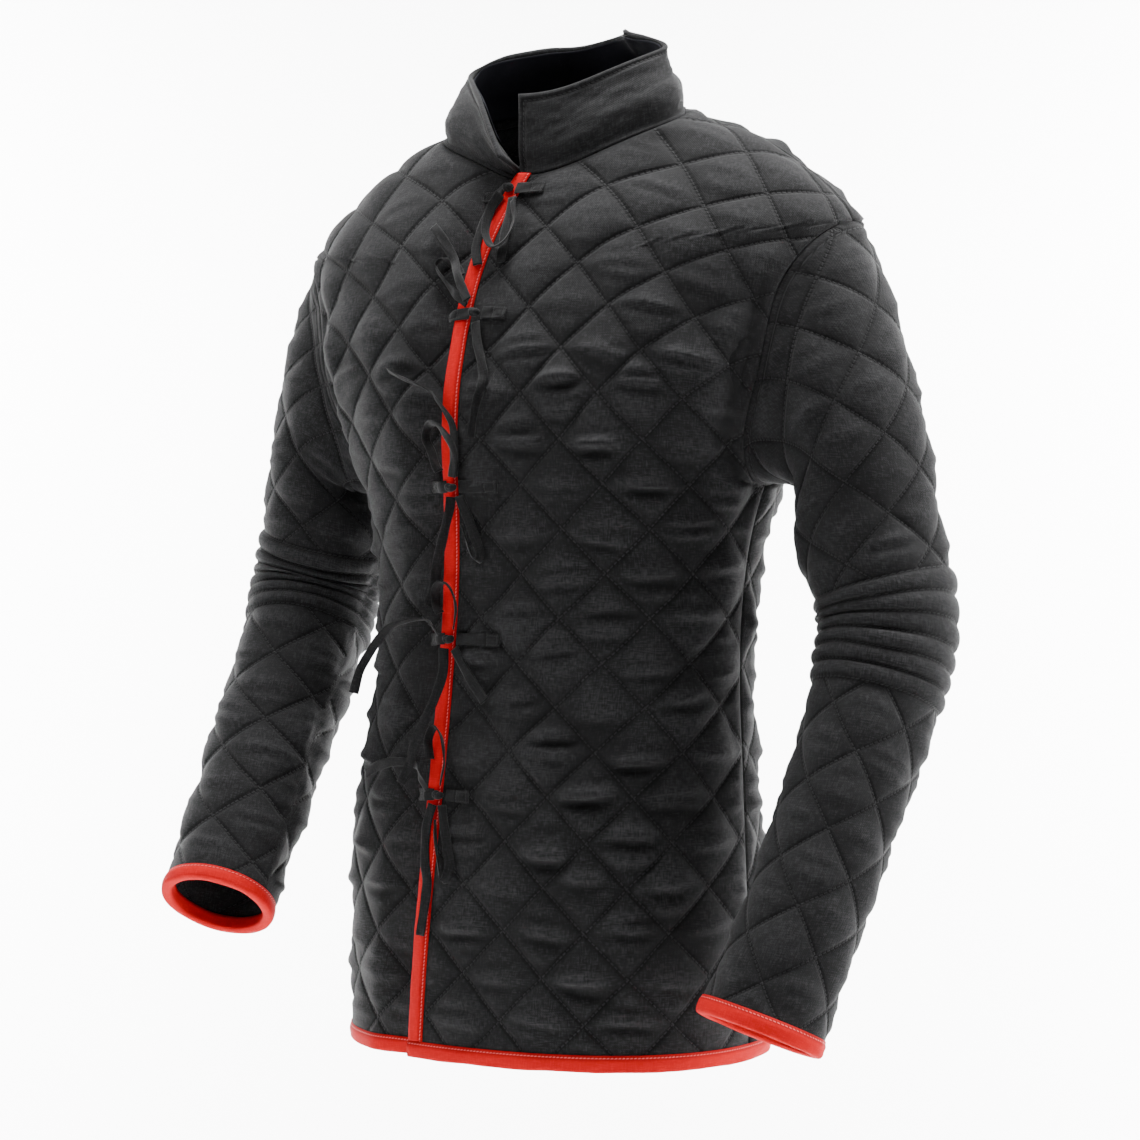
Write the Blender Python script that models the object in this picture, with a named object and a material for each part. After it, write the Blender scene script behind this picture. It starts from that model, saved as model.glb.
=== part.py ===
"""Gambeson: a quilted, open-necked jacket in its worn, hollow form.

Metres, +Z up. The front faces -Y and the wearer's left is +X. The origin is midway between the
two points where the shoulder seams meet the neckline. Every cloth piece is a wall through rings
or rows of points that are worked out from the tables below.
"""

from collections import namedtuple

import bmesh
import bpy
import numpy as np

OBJECT = "gambeson"

# Cloth, in metres
WALL = 0.006  # quilted body and sleeves: two faces and the batting
COLLAR_WALL = 0.005
LINING = 0.0012
BINDING = 0.001  # the folded strip that wraps a raw edge
SEAM = 0.0003  # gap between neighbouring pieces
BINDING_GAP = 0.0005  # between a binding's legs and the cloth inside it
HEM_BINDING_WIDTH = 0.012
EDGE_BINDING_WIDTH = 0.014
CUFF_BINDING_WIDTH = 0.012
TAPE_WIDTH = 0.008
TAPE = 0.0012
ARMHOLE_GAP = 0.0007
LINING_GAP = 0.0007
LAP_INSET = 0.0098  # how far the under front is set in below the over front
LAP_RAMP = 0.045  # the width over which it comes back out

# Heights of the cut
HEM_Z = -0.772
PIT_Z = -0.310
TIP_Z = -0.100
FRONT_TIP_Z = -0.130
BACK_TIP_Z = -0.075
FRONT_NECK_Z = -0.054
BACK_NECK_Z = 0.022
FRONT_NECK_CURVE = 1.15

# The armhole, as degrees before and behind the side line, and how square its oval is
ARMHOLE_FRONT = np.radians(17.0)
ARMHOLE_BACK = np.radians(16.0)
ARMHOLE_SQUARE = 2.4
ROUNDNESS = 2.25  # exponent of the body's cross-section: 2 is an ellipse

# The body's middle surface, a row for each height
Level = namedtuple("Level", "z half_width front_y back_y side_y shift_x")
BODY = (
    Level(-0.790, 0.1785, -0.138, 0.128, 0.000, -0.010),
    Level(-0.705, 0.1800, -0.137, 0.125, 0.000, -0.011),
    Level(-0.613, 0.1785, -0.132, 0.116, 0.000, -0.012),
    Level(-0.537, 0.1725, -0.127, 0.106, 0.000, -0.009),
    Level(-0.470, 0.1660, -0.121, 0.098, 0.000, -0.005),
    Level(-0.403, 0.1655, -0.118, 0.100, 0.000, -0.002),
    Level(-0.340, 0.1740, -0.122, 0.115, 0.000, 0.000),
    Level(-0.277, 0.1960, -0.128, 0.133, 0.004, 0.000),
    Level(-0.220, 0.2290, -0.124, 0.138, 0.008, 0.000),
    Level(-0.160, 0.2490, -0.107, 0.132, 0.012, 0.000),
    Level(-0.100, 0.2550, -0.085, 0.120, 0.015, 0.000),
    Level(-0.071, 0.2320, -0.070, 0.111, 0.016, 0.000),
    Level(-0.046, 0.2010, -0.057, 0.103, 0.016, 0.000),
    Level(-0.022, 0.1600, -0.046, 0.095, 0.015, 0.000),
    Level(0.000, 0.1040, -0.036, 0.086, 0.012, 0.000),
    Level(0.024, 0.0700, -0.030, 0.074, 0.010, 0.000),
)

# The front edge of the over (left) front, and how far the under front runs on beneath it
Edge = namedtuple("Edge", "z over_x lap")
FRONT_EDGE = (
    Edge(-0.790, -0.070, 0.045),
    Edge(-0.640, -0.060, 0.045),
    Edge(-0.540, -0.052, 0.045),
    Edge(-0.450, -0.048, 0.045),
    Edge(-0.330, -0.041, 0.042),
    Edge(-0.220, -0.038, 0.040),
    Edge(-0.138, -0.034, 0.038),
    Edge(-0.095, -0.025, 0.034),
    Edge(-0.050, -0.010, 0.026),
)

# The sleeves' centre lines and half-sizes, a row for each section from armhole to cuff
Section = namedtuple("Section", "step x y z side_radius front_radius")
LEFT_SLEEVE = (
    Section(0, 0.2180, 0.012, -0.205, 0.062, 0.062),
    Section(1, 0.2420, 0.018, -0.262, 0.060, 0.062),
    Section(2, 0.2580, 0.020, -0.315, 0.058, 0.058),
    Section(3, 0.2720, 0.021, -0.365, 0.055, 0.055),
    Section(4, 0.2850, 0.020, -0.418, 0.052, 0.055),
    Section(5, 0.2820, 0.004, -0.475, 0.050, 0.050),
    Section(6, 0.2740, -0.022, -0.535, 0.047, 0.047),
    Section(7, 0.2630, -0.051, -0.605, 0.045, 0.045),
    Section(8, 0.2500, -0.076, -0.665, 0.045, 0.043),
    Section(9, 0.2340, -0.102, -0.733, 0.048, 0.042),
)
RIGHT_SLEEVE = (
    Section(0, -0.2180, 0.012, -0.205, 0.062, 0.062),
    Section(1, -0.2430, 0.018, -0.258, 0.060, 0.062),
    Section(2, -0.2580, 0.020, -0.305, 0.058, 0.058),
    Section(3, -0.2700, 0.021, -0.350, 0.056, 0.055),
    Section(4, -0.2810, 0.020, -0.396, 0.053, 0.056),
    Section(5, -0.2780, -0.010, -0.455, 0.052, 0.052),
    Section(6, -0.2700, -0.050, -0.508, 0.049, 0.049),
    Section(7, -0.2600, -0.092, -0.560, 0.047, 0.047),
    Section(8, -0.2520, -0.128, -0.607, 0.046, 0.045),
    Section(9, -0.2450, -0.165, -0.657, 0.044, 0.044),
)
SLEEVE_CAP_STEPS = 2.6  # how many steps of the table the armhole's shape takes to fade
CAP_DROP = 1.3  # how steeply the top of the cap falls
ARMHOLE_NORMAL = (0.93, 0.0, -0.36)
CAP_TURN = 0.007  # how far the cap follows the panel's own direction before it turns
CAP_STEPS = (0.0, 0.09, 0.22, 0.42)  # the first rings, in steps of the table

# The collar, a row for each angle round the neck: 0 is centre front, 90 the wearer's left.
# lean is degrees outward from upright; the right half falls open towards its front end.
Stand = namedtuple("Stand", "angle height lean puff")
COLLAR = (
    Stand(0, 0.062, 4, 0.003),
    Stand(30, 0.061, -2, 0.005),
    Stand(60, 0.065, -14, 0.008),
    Stand(90, 0.073, -28, 0.011),
    Stand(120, 0.073, -34, 0.011),
    Stand(150, 0.058, -22, 0.010),
    Stand(180, 0.051, -10, 0.009),
    Stand(210, 0.050, -14, 0.009),
    Stand(235, 0.058, -22, 0.010),
    Stand(270, 0.064, -20, 0.011),
    Stand(300, 0.062, -15, 0.010),
    Stand(320, 0.051, 6, 0.007),
    Stand(335, 0.047, 36, 0.004),
    Stand(352, 0.044, 76, 0.000),
)
COLLAR_END = -8.0
COLLAR_TURN = 0.0065
COLLAR_GAP = 0.0008

# Mesh counts
COLUMNS = 9
SKIRT_ROWS = 9
ARMHOLE_ROWS = 7
YOKE_ROWS = 5
BACK_COLUMNS = 14
COLLAR_RISE = (0.04, 0.14, 0.28, 0.46, 0.72, 1.0)
PUFF_SHAPE = (0.30, 0.80, 1.0, 0.60, 0.15, 0.0)
SLEEVE_RINGS = 17

# Ties: where each knot is, how far its left tab runs, and the routes of its tapes, in metres.
# across is measured round the body from the knot towards the wearer's left, down from the knot,
# lift off the cloth; turn is the degrees by which the tape stands up from lying flat.
Bend = namedtuple("Bend", "across down lift turn")
Turn = namedtuple("Turn", "at across down lift turn")
Tie = namedtuple("Tie", "height across tab")
TIES = (
    Tie(-0.068, 0.0040, 0.034),
    Tie(-0.172, 0.0200, 0.029),
    Tie(-0.310, 0.0105, 0.043),
    Tie(-0.434, 0.0105, 0.048),
    Tie(-0.560, 0.0135, 0.028),
)
KNOT_SIZE = (0.011, 0.0042, 0.009)
KNOT_LIFT = 0.0060
SINK_WIDTH = 0.020
TAPE_CLEAR = 0.0031  # from the cloth to the middle of a tape that lies on it
TAB_START = 0.0062
TAB_RIGHT = 0.028
TIE_TAPES = (
    (
        ("loop", (
            Bend(-0.003, 0.0080, 0.0095, 60),
            Bend(-0.008, 0.0220, 0.0095, 60),
            Bend(-0.006, 0.0400, 0.0095, 60),
            Bend(0.004, 0.0520, 0.0095, 60),
            Bend(0.015, 0.0460, 0.0095, 50),
            Bend(0.019, 0.0320, 0.0095, 35),
            Bend(0.012, 0.0140, 0.0100, 40),
        )),
        ("tail_left", (
            Bend(0.006, 0.0080, 0.0040, 0),
            Bend(0.008, 0.0300, 0.0040, 0),
            Bend(0.010, 0.0500, 0.0040, 5),
            Bend(0.011, 0.0630, 0.0040, 10),
        )),
        ("tail_right", (
            Bend(-0.006, 0.0070, 0.0040, 0),
            Bend(-0.014, 0.0260, 0.0040, 10),
            Bend(-0.016, 0.0480, 0.0040, 20),
            Bend(-0.011, 0.0640, 0.0040, 20),
        )),
    ),
    (
        ("tail_up", (
            Bend(-0.005, -0.0080, 0.0110, 0),
            Bend(-0.016, -0.0240, 0.0110, 0),
            Bend(-0.033, -0.0480, 0.0110, 0),
            Bend(-0.047, -0.0660, 0.0090, 0),
            Bend(-0.056, -0.0740, 0.0070, 0),
        )),
        ("loop", (
            Bend(-0.010, -0.0080, 0.0040, 15),
            Bend(-0.024, -0.0170, 0.0040, 30),
            Bend(-0.039, -0.0300, 0.0050, 60),
            Bend(-0.048, -0.0420, 0.0050, 60),
            Bend(-0.043, -0.0490, 0.0050, 55),
            Bend(-0.032, -0.0420, 0.0040, 20),
            Bend(-0.024, -0.0330, 0.0040, 10),
        )),
        ("tail_down", (
            Bend(0.002, 0.0080, 0.0045, 0),
            Bend(0.008, 0.0265, 0.0045, 5),
            Bend(0.0165, 0.0480, 0.0045, 15),
            Bend(0.018, 0.0600, 0.0045, 50),
            Bend(0.013, 0.0750, 0.0045, 75),
            Bend(0.009, 0.1000, 0.0045, 75),
        )),
    ),
    (
        ("loop", (
            Bend(0.004, -0.0080, 0.0090, 5),
            Bend(0.007, -0.0265, 0.0095, 10),
            Bend(-0.001, -0.0420, 0.0105, 25),
            Bend(-0.012, -0.0500, 0.0105, 60),
            Bend(-0.025, -0.0480, 0.0090, 70),
            Bend(-0.028, -0.0375, 0.0080, 70),
            Bend(-0.019, -0.0255, 0.0070, 70),
            Bend(-0.009, -0.0130, 0.0070, 65),
        )),
        ("tail_up", (
            Bend(0.002, -0.0080, 0.0038, 0),
            Bend(0.004, -0.0310, 0.0038, 0),
            Bend(0.000, -0.0530, 0.0042, 20),
            Bend(-0.021, -0.0740, 0.0060, 65),
            Bend(-0.047, -0.0870, 0.0060, 70),
            Bend(-0.064, -0.0940, 0.0060, 60),
        )),
        ("tail_down", (
            Bend(0.000, 0.0080, 0.0065, 50),
            Bend(-0.004, 0.0240, 0.0065, 55),
            Bend(-0.017, 0.0590, 0.0065, 55),
            Bend(-0.036, 0.0975, 0.0065, 40),
        )),
        ("loop_down", (
            Bend(0.008, 0.0070, 0.0065, 60),
            Bend(0.018, 0.0330, 0.0065, 55),
            Bend(0.025, 0.0520, 0.0065, 55),
            Bend(0.023, 0.0600, 0.0065, 60),
            Bend(0.016, 0.0530, 0.0065, 60),
            Bend(0.009, 0.0300, 0.0065, 65),
        )),
    ),
    (
        ("loop", (
            Bend(0.005, -0.0080, 0.0065, 50),
            Bend(0.008, -0.0240, 0.0080, 60),
            Bend(0.005, -0.0400, 0.0090, 65),
            Bend(-0.004, -0.0470, 0.0090, 70),
            Bend(-0.013, -0.0390, 0.0080, 65),
            Bend(-0.014, -0.0290, 0.0070, 65),
            Bend(-0.008, -0.0210, 0.0070, 65),
        )),
        ("tail_up", (
            Bend(-0.0075, -0.0045, 0.0105, 40),
            Bend(-0.016, -0.0110, 0.0105, 60),
            Bend(-0.034, -0.0155, 0.0105, 75),
            Bend(-0.062, -0.0070, 0.0120, 75),
            Bend(-0.083, 0.0110, 0.0150, 75),
            Bend(-0.096, 0.0300, 0.0190, 70),
            Bend(-0.099, 0.0500, 0.0220, 60),
        )),
        ("tail_down", (
            Bend(0.005, 0.0080, 0.0045, 0),
            Bend(0.014, 0.0220, 0.0045, 5),
            Bend(0.026, 0.0370, 0.0045, 10),
            Bend(0.037, 0.0500, 0.0045, 0),
        )),
        ("tail_long", (
            Bend(-0.004, 0.0080, 0.0065, 50),
            Bend(-0.001, 0.0310, 0.0110, 60),
            Bend(-0.007, 0.0600, 0.0170, 50),
            Bend(-0.020, 0.0860, 0.0180, 40),
            Bend(-0.038, 0.1190, 0.0190, 30),
        )),
    ),
    (
        ("loop_up", (
            Bend(0.002, -0.0080, 0.0065, 50),
            Bend(0.006, -0.0280, 0.0075, 60),
            Bend(0.003, -0.0460, 0.0085, 65),
            Bend(-0.005, -0.0540, 0.0085, 65),
            Bend(-0.011, -0.0440, 0.0075, 65),
            Bend(-0.009, -0.0280, 0.0065, 60),
        )),
        ("tail_up", (
            Bend(-0.0075, -0.0045, 0.0105, 20),
            Bend(-0.016, -0.0140, 0.0105, 25),
            Bend(-0.028, -0.0215, 0.0100, 30),
            Bend(-0.044, -0.0240, 0.0085, 30),
            Bend(-0.067, -0.0200, 0.0070, 20),
            Bend(-0.090, -0.0115, 0.0070, 10),
        )),
        ("loop", (
            Bend(0.005, 0.0080, 0.0065, 60),
            Bend(0.010, 0.0350, 0.0065, 60),
            Bend(0.014, 0.0570, 0.0065, 45),
            Bend(0.008, 0.0690, 0.0065, 60),
            Bend(0.003, 0.0560, 0.0065, 60),
            Bend(-0.001, 0.0330, 0.0065, 65),
            Bend(-0.001, 0.0200, 0.0065, 65),
        )),
        ("tail_down", (
            Bend(-0.006, 0.0080, 0.0045, 10),
            Bend(-0.012, 0.0300, 0.0045, 15),
            Bend(-0.012, 0.0550, 0.0045, 20),
            Bend(-0.009, 0.0760, 0.0045, 20),
            Bend(-0.014, 0.1140, 0.0045, 15),
        )),
    ),
)

CHARCOAL = (0.020, 0.020, 0.021, 1.0)
NAVY = (0.008, 0.008, 0.012, 1.0)
RED = (0.65, 0.010, 0.012, 1.0)
BLACK = (0.008, 0.008, 0.008, 1.0)


# ---------------------------------------------------------------- reading the tables


def through(rows, field, at):
    """A smooth curve through one column of a table, read at the values given."""
    knots = np.array([row[0] for row in rows], float)
    values = np.array([getattr(row, field) for row in rows], float)
    slopes = np.gradient(values, knots)
    at = np.clip(np.asarray(at, float), knots[0], knots[-1])
    i = np.clip(np.searchsorted(knots, at, side="right") - 1, 0, len(knots) - 2)
    span = knots[i + 1] - knots[i]
    f = (at - knots[i]) / span
    rise = f * f * (3 - 2 * f)
    start = span * slopes[i] * f * (1 - f) ** 2
    finish = span * slopes[i + 1] * f * f * (f - 1)
    return values[i] + (values[i + 1] - values[i]) * rise + start + finish


def smooth(x):
    x = np.clip(x, 0.0, 1.0)
    return x * x * (3 - 2 * x)


def unit(v):
    return v / np.linalg.norm(v, axis=-1, keepdims=True)


# ---------------------------------------------------------------- the body's surface


def depth_at(angle, z):
    side_y = through(BODY, "side_y", z)
    front = side_y - through(BODY, "front_y", z)
    back = through(BODY, "back_y", z) - side_y
    return np.where(np.cos(angle) > 0, front, back)


def reach_at(angle, z):
    """How far the body's surface is from its centre line."""
    across = np.abs(np.sin(angle)) / through(BODY, "half_width", z)
    along = np.abs(np.cos(angle)) / depth_at(angle, z)
    return (across**ROUNDNESS + along**ROUNDNESS) ** (-1.0 / ROUNDNESS)


def body_point(angle, z):
    angle, z = np.broadcast_arrays(np.asarray(angle, float), np.asarray(z, float))
    reach = reach_at(angle, z)
    x = through(BODY, "shift_x", z) + reach * np.sin(angle)
    y = through(BODY, "side_y", z) - reach * np.cos(angle)
    return np.stack([x, y, z], axis=-1)


def body_normal(angle, z):
    turn, climb = 1e-3, 5e-4
    round_it = body_point(angle + turn, z) - body_point(angle - turn, z)
    up = body_point(angle, z + climb) - body_point(angle, z - climb)
    return unit(np.cross(round_it, up))


def angle_at_x(x, z):
    """The angle at which the front has this x."""
    half = through(BODY, "half_width", z)
    x = x - through(BODY, "shift_x", z)
    depth = depth_at(0.0, z) * (1 - (np.abs(x) / half) ** ROUNDNESS) ** (1 / ROUNDNESS)
    return np.arctan2(x, depth)


def over_edge(z):
    return angle_at_x(through(FRONT_EDGE, "over_x", z), z)


def under_edge(z):
    return angle_at_x(through(FRONT_EDGE, "over_x", z) + through(FRONT_EDGE, "lap", z), z)


def row_height(step, angle):
    """Heights of a panel's rows: 0 to 1 is hem to armpit, 1 to 2 the armhole, 2 to 3 the yoke."""
    fade = np.abs(np.cos(angle))
    front = np.cos(angle) > 0
    tip = TIP_Z + (np.where(front, FRONT_TIP_Z, BACK_TIP_Z) - TIP_Z) * fade
    neck = np.where(front, FRONT_NECK_Z * fade**FRONT_NECK_CURVE, BACK_NECK_Z * fade)
    skirt = HEM_Z + (PIT_Z - HEM_Z) * np.clip(step, 0, 1)
    armhole = (tip - PIT_Z) * np.clip(step - 1, 0, 1)
    return skirt + armhole + (neck - tip) * np.clip(step - 2, 0, 1)


def armhole_shape(step):
    """0 at the armpit and the shoulder tip, 1 at the armhole's widest."""
    along = np.clip(step - 1, 0, 1)
    return (1 - np.abs(2 * along - 1) ** ARMHOLE_SQUARE) ** (1 / ARMHOLE_SQUARE)


def row_steps():
    """The panel's rows: the hem binding's two, the skirt, the armhole and the yoke."""
    first = HEM_BINDING_WIDTH / (PIT_Z - HEM_Z)
    skirt = np.linspace(first, 1.0, SKIRT_ROWS)
    turn = np.linspace(0.0, np.pi, ARMHOLE_ROWS + 1)[1:]
    armhole = 1.0 + (1 - np.cos(turn)) / 2
    yoke = np.linspace(2.0, 3.0, YOKE_ROWS + 1)[1:]
    return np.concatenate([[0.0], skirt, armhole, yoke])


def side_line(step, side, swing):
    """The angle of a panel's side edge at each row, half a seam gap short of the side seam."""
    angle = side - swing * armhole_shape(step)
    reach = reach_at(angle, row_height(step, angle))
    return angle - np.sign(swing) * 0.5 * SEAM / reach


def columns_from(edge_angle, end_angle, edge_width, reach):
    """Angles across a panel: its edge binding's width, then even columns."""
    first = edge_angle + np.sign(end_angle - edge_angle) * edge_width / reach
    share = np.linspace(0.0, 1.0, COLUMNS)
    rest = first[:, None] + (end_angle - first)[:, None] * share
    return np.concatenate([edge_angle[:, None], rest], axis=1)


def lap_inset(angle, z):
    """How far the under front is set in: fully under the over front, and out again beyond it."""
    beyond = (over_edge(z) - angle) * reach_at(angle, z)
    return LAP_INSET * (1 - smooth((beyond - 0.008) / LAP_RAMP))


def over_front():
    """Angles, heights, points and normals of the wearer's left front."""
    steps = row_steps()
    z_edge = row_height(steps, 0.0)
    edge = over_edge(z_edge)
    side = side_line(steps, np.pi / 2, ARMHOLE_FRONT)
    angle = columns_from(edge, side, EDGE_BINDING_WIDTH, reach_at(edge, z_edge))
    z = row_height(steps[:, None], angle)
    return angle, z, body_point(angle, z), body_normal(angle, z)


def under_front():
    """The same for the wearer's right front, which passes under the left one."""
    steps = row_steps()
    z_edge = row_height(steps, 0.0)
    edge = under_edge(z_edge)
    side = side_line(steps, -np.pi / 2, -ARMHOLE_FRONT)
    angle = columns_from(edge, side, EDGE_BINDING_WIDTH, reach_at(edge, z_edge))
    z = row_height(steps[:, None], angle)
    normal = body_normal(angle, z)
    return angle, z, body_point(angle, z) - lap_inset(angle, z)[..., None] * normal, normal


def back_panel():
    steps = row_steps()
    left = side_line(steps, np.pi / 2, -ARMHOLE_BACK)
    right = 2 * np.pi - left
    share = np.linspace(0.0, 1.0, BACK_COLUMNS + 1)
    angle = left[:, None] + (right - left)[:, None] * share
    z = row_height(steps[:, None], angle)
    return angle, z, body_point(angle, z), body_normal(angle, z)


# ---------------------------------------------------------------- making solids


def new_object(name, bm, colour, roughness):
    bmesh.ops.recalc_face_normals(bm, faces=bm.faces)
    mesh = bpy.data.meshes.new(name)
    bm.to_mesh(mesh)
    bm.free()
    mesh.shade_smooth()
    mesh.set_sharp_from_angle(angle=np.radians(50))
    material = bpy.data.materials.new(name + "_cloth")
    material.use_nodes = True
    shader = material.node_tree.nodes["Principled BSDF"]
    shader.inputs["Base Color"].default_value = colour
    shader.inputs["Roughness"].default_value = roughness
    mesh.materials.append(material)
    obj = bpy.data.objects.new(name, mesh)
    bpy.data.collections[OBJECT].objects.link(obj)
    return obj


def skin(bm, points):
    """A grid of faces through a table of points, rows by columns."""
    rows, columns = points.shape[:2]
    made = bmesh.ops.create_grid(bm, x_segments=columns - 1, y_segments=rows - 1, size=1.0)
    for vert, place in zip(made["verts"], points.reshape(-1, 3)):
        vert.co = place
    return made["verts"]


def shell(name, points, normals, wall, colour, roughness=0.85, offset=0.0):
    """A wall of cloth on a middle surface. A first column that equals the last makes a tube."""
    bm = bmesh.new()
    outer = skin(bm, points + normals * (offset + wall / 2))
    rim = [edge for edge in bm.edges if edge.is_boundary]
    inner = skin(bm, points + normals * (offset - wall / 2))
    twin = dict(zip(outer, inner))
    for edge in rim:
        a, b = edge.verts
        bm.faces.new((a, b, twin[b], twin[a]))
    closed = np.allclose(points[:, 0], points[:, -1], atol=1e-7)
    if closed:
        drop_seam_walls(bm, points.shape[:2], outer, inner)
        bmesh.ops.remove_doubles(bm, verts=bm.verts, dist=1e-6)
    return new_object(name, bm, colour, roughness)


def drop_seam_walls(bm, shape, outer, inner):
    """Removes the two walls that a tube's own seam would put inside it."""
    rows, columns = shape
    for column in (0, columns - 1):
        ends = {outer[row * columns + column] for row in range(rows)}
        ends |= {inner[row * columns + column] for row in range(rows)}
        walls = [face for face in bm.faces if all(v in ends for v in face.verts)]
        bmesh.ops.delete(bm, geom=walls, context="FACES_ONLY")


def sweep(name, rings, colour, roughness=0.6, closed=False):
    """A solid through closed rings of points: rings by points."""
    bm = bmesh.new()
    loops = [[bm.verts.new(p) for p in ring] for ring in rings]
    pairs = list(zip(loops, loops[1:])) + ([(loops[-1], loops[0])] if closed else [])
    for first, second in pairs:
        for k in range(len(first)):
            after = (k + 1) % len(first)
            bm.faces.new((first[k], first[after], second[after], second[k]))
    if not closed:
        bm.faces.new(loops[0])
        bm.faces.new(loops[-1])
    bmesh.ops.triangulate(bm, faces=bm.faces)
    return new_object(name, bm, colour, roughness)


def binding(name, edge, edge_normal, inside, inside_normal, closed=False):
    """A strip folded round a raw edge, from the edge's points and those its own width inside it."""
    out = unit(edge - inside)
    low = WALL / 2 + BINDING_GAP
    high = low + BINDING
    end = SEAM + BINDING
    rings = np.stack(
        [
            inside + inside_normal * low,
            inside + inside_normal * high,
            edge + edge_normal * high + out * end,
            edge - edge_normal * high + out * end,
            inside - inside_normal * high,
            inside - inside_normal * low,
            edge - edge_normal * low + out * SEAM,
            edge + edge_normal * low + out * SEAM,
        ],
        axis=1,
    )
    return sweep(name, rings, RED, 0.45, closed)


# ---------------------------------------------------------------- body, collar and bindings


def make_body():
    for name, cut in (("front_left", over_front), ("front_right", under_front), ("back", back_panel)):
        _, _, points, normals = cut()
        shell(name, points, normals, WALL, CHARCOAL)


def make_front_bindings():
    for name, cut in (("edge_binding_left", over_front), ("edge_binding_right", under_front)):
        _, _, points, normals = cut()
        rows = slice(1, None)
        edge, inside = points[rows, 0].copy(), points[rows, 1].copy()
        edge[0] += unit(edge[1] - edge[0]) * SEAM
        inside[0] += unit(inside[1] - inside[0]) * SEAM
        binding(name, edge, normals[rows, 0], inside, normals[rows, 1])


def make_hem_binding():
    """One strip from the over front's corner, round the back, to the under front's corner."""
    low, low_normal, high, high_normal = [], [], [], []
    for cut, order in ((over_front, 1), (back_panel, 1), (under_front, -1)):
        _, _, points, normals = cut()
        low.append(points[0][::order])
        low_normal.append(normals[0][::order])
        high.append(points[1][::order])
        high_normal.append(normals[1][::order])
    low, low_normal, high, high_normal = map(np.concatenate, (low, low_normal, high, high_normal))
    for end, before in ((0, 1), (-1, -2)):
        step = unit(low[end] - low[before]) * (SEAM + BINDING)
        low[end] += step
        high[end] += step
    keep = np.append(np.linalg.norm(np.diff(low, axis=0), axis=1) > 2 * SEAM, True)
    binding("hem_binding", low[keep], low_normal[keep], high[keep], high_normal[keep])


def neck_points():
    """The neckline from the left end round to the right: angles, points, normals, ways onward."""
    angles, places, lower, normals = [], [], [], []
    for cut, order, turn in ((over_front, 1, 0), (back_panel, 1, 0), (under_front, -1, 2 * np.pi)):
        angle, _, points, normal = cut()
        angles.append(angle[-1][::order] + turn)
        places.append(points[-1][::order])
        lower.append(points[-2][::order])
        normals.append(normal[-1][::order])
    for seam in (0, 1):
        for part in (angles, places, lower, normals):
            part[seam + 1][0] = (part[seam][-1] + part[seam + 1][0]) / 2
            part[seam] = part[seam][:-1]
    angle, place, below, normal = map(np.concatenate, (angles, places, lower, normals))
    keep = angle < 2 * np.pi + np.radians(COLLAR_END)
    angle, place, below, normal = angle[keep], place[keep], below[keep], unit(normal[keep])
    onward = place - below
    onward -= normal * np.sum(onward * normal, axis=1)[:, None]
    return angle, place, normal, unit(onward)


def collar_surface():
    """The collar's middle surface, rows from the neckline up, from the left end to the right."""
    angle, point, normal, onward = neck_points()
    degrees = np.degrees(angle)
    outward = unit(normal * [1.0, 1.0, 0.0])
    lean = np.radians(through(COLLAR, "lean", degrees))[:, None]
    up = np.cos(lean) * [0.0, 0.0, 1.0] + np.sin(lean) * outward
    height = through(COLLAR, "height", degrees)[:, None]
    puff = through(COLLAR, "puff", degrees)[:, None]
    rows = []
    for rise, swell in zip(COLLAR_RISE, PUFF_SHAPE):
        spread = np.cos(lean) * outward - np.sin(lean) * [0.0, 0.0, 1.0]
        rows.append(point + onward * COLLAR_TURN + up * height * rise + spread * puff * swell)
    rows = np.stack([point + onward * COLLAR_GAP] + rows)
    normals = surface_normals(rows)
    normals = normals * np.sign(np.sum(normals * outward, axis=2).mean())
    normals[0] = normal
    normals[1] = unit(normal + normals[2])
    return rows, normals


def surface_normals(points, closed=False):
    """The normals of a table of points, rows by columns; closed if its columns go all round."""
    if closed:
        across = np.roll(points, -1, axis=1) - np.roll(points, 1, axis=1)
    else:
        across = np.gradient(points, axis=1)
    along = np.gradient(points, axis=0)
    return unit(np.cross(across, along))


def make_collar():
    rows, normals = collar_surface()
    shell("collar", rows, normals, COLLAR_WALL, CHARCOAL)
    inside = -(COLLAR_WALL / 2 + LINING_GAP + LINING / 2)
    trim = slice(2, -2)
    lining_rows = rows[1:, trim].copy()
    lining_rows[-1] += 0.10 * (lining_rows[-2] - lining_rows[-1])
    shell("collar_lining", lining_rows, normals[1:, trim], LINING, NAVY, 0.8, inside)


# ---------------------------------------------------------------- sleeves


def sleeve_centre(table, step):
    return np.stack([through(table, axis, step) for axis in "xyz"], axis=-1)


def armhole_loop(side):
    """The armhole's points and normals, from the tip, forward, under the arm and back up."""
    rows = slice(SKIRT_ROWS, SKIRT_ROWS + ARMHOLE_ROWS + 1)
    _, _, front, front_normal = over_front() if side > 0 else under_front()
    _, _, back, back_normal = back_panel()
    column = 0 if side > 0 else -1
    ahead, behind = front[rows, -1], back[rows, column]
    loop = np.concatenate([ahead[::-1], behind[1:-1]])
    normal = np.concatenate([front_normal[rows, -1][::-1], back_normal[rows, column][1:-1]])
    loop[0] = (ahead[-1] + behind[-1]) / 2
    loop[ARMHOLE_ROWS] = (ahead[0] + behind[0]) / 2
    return loop, normal


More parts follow.
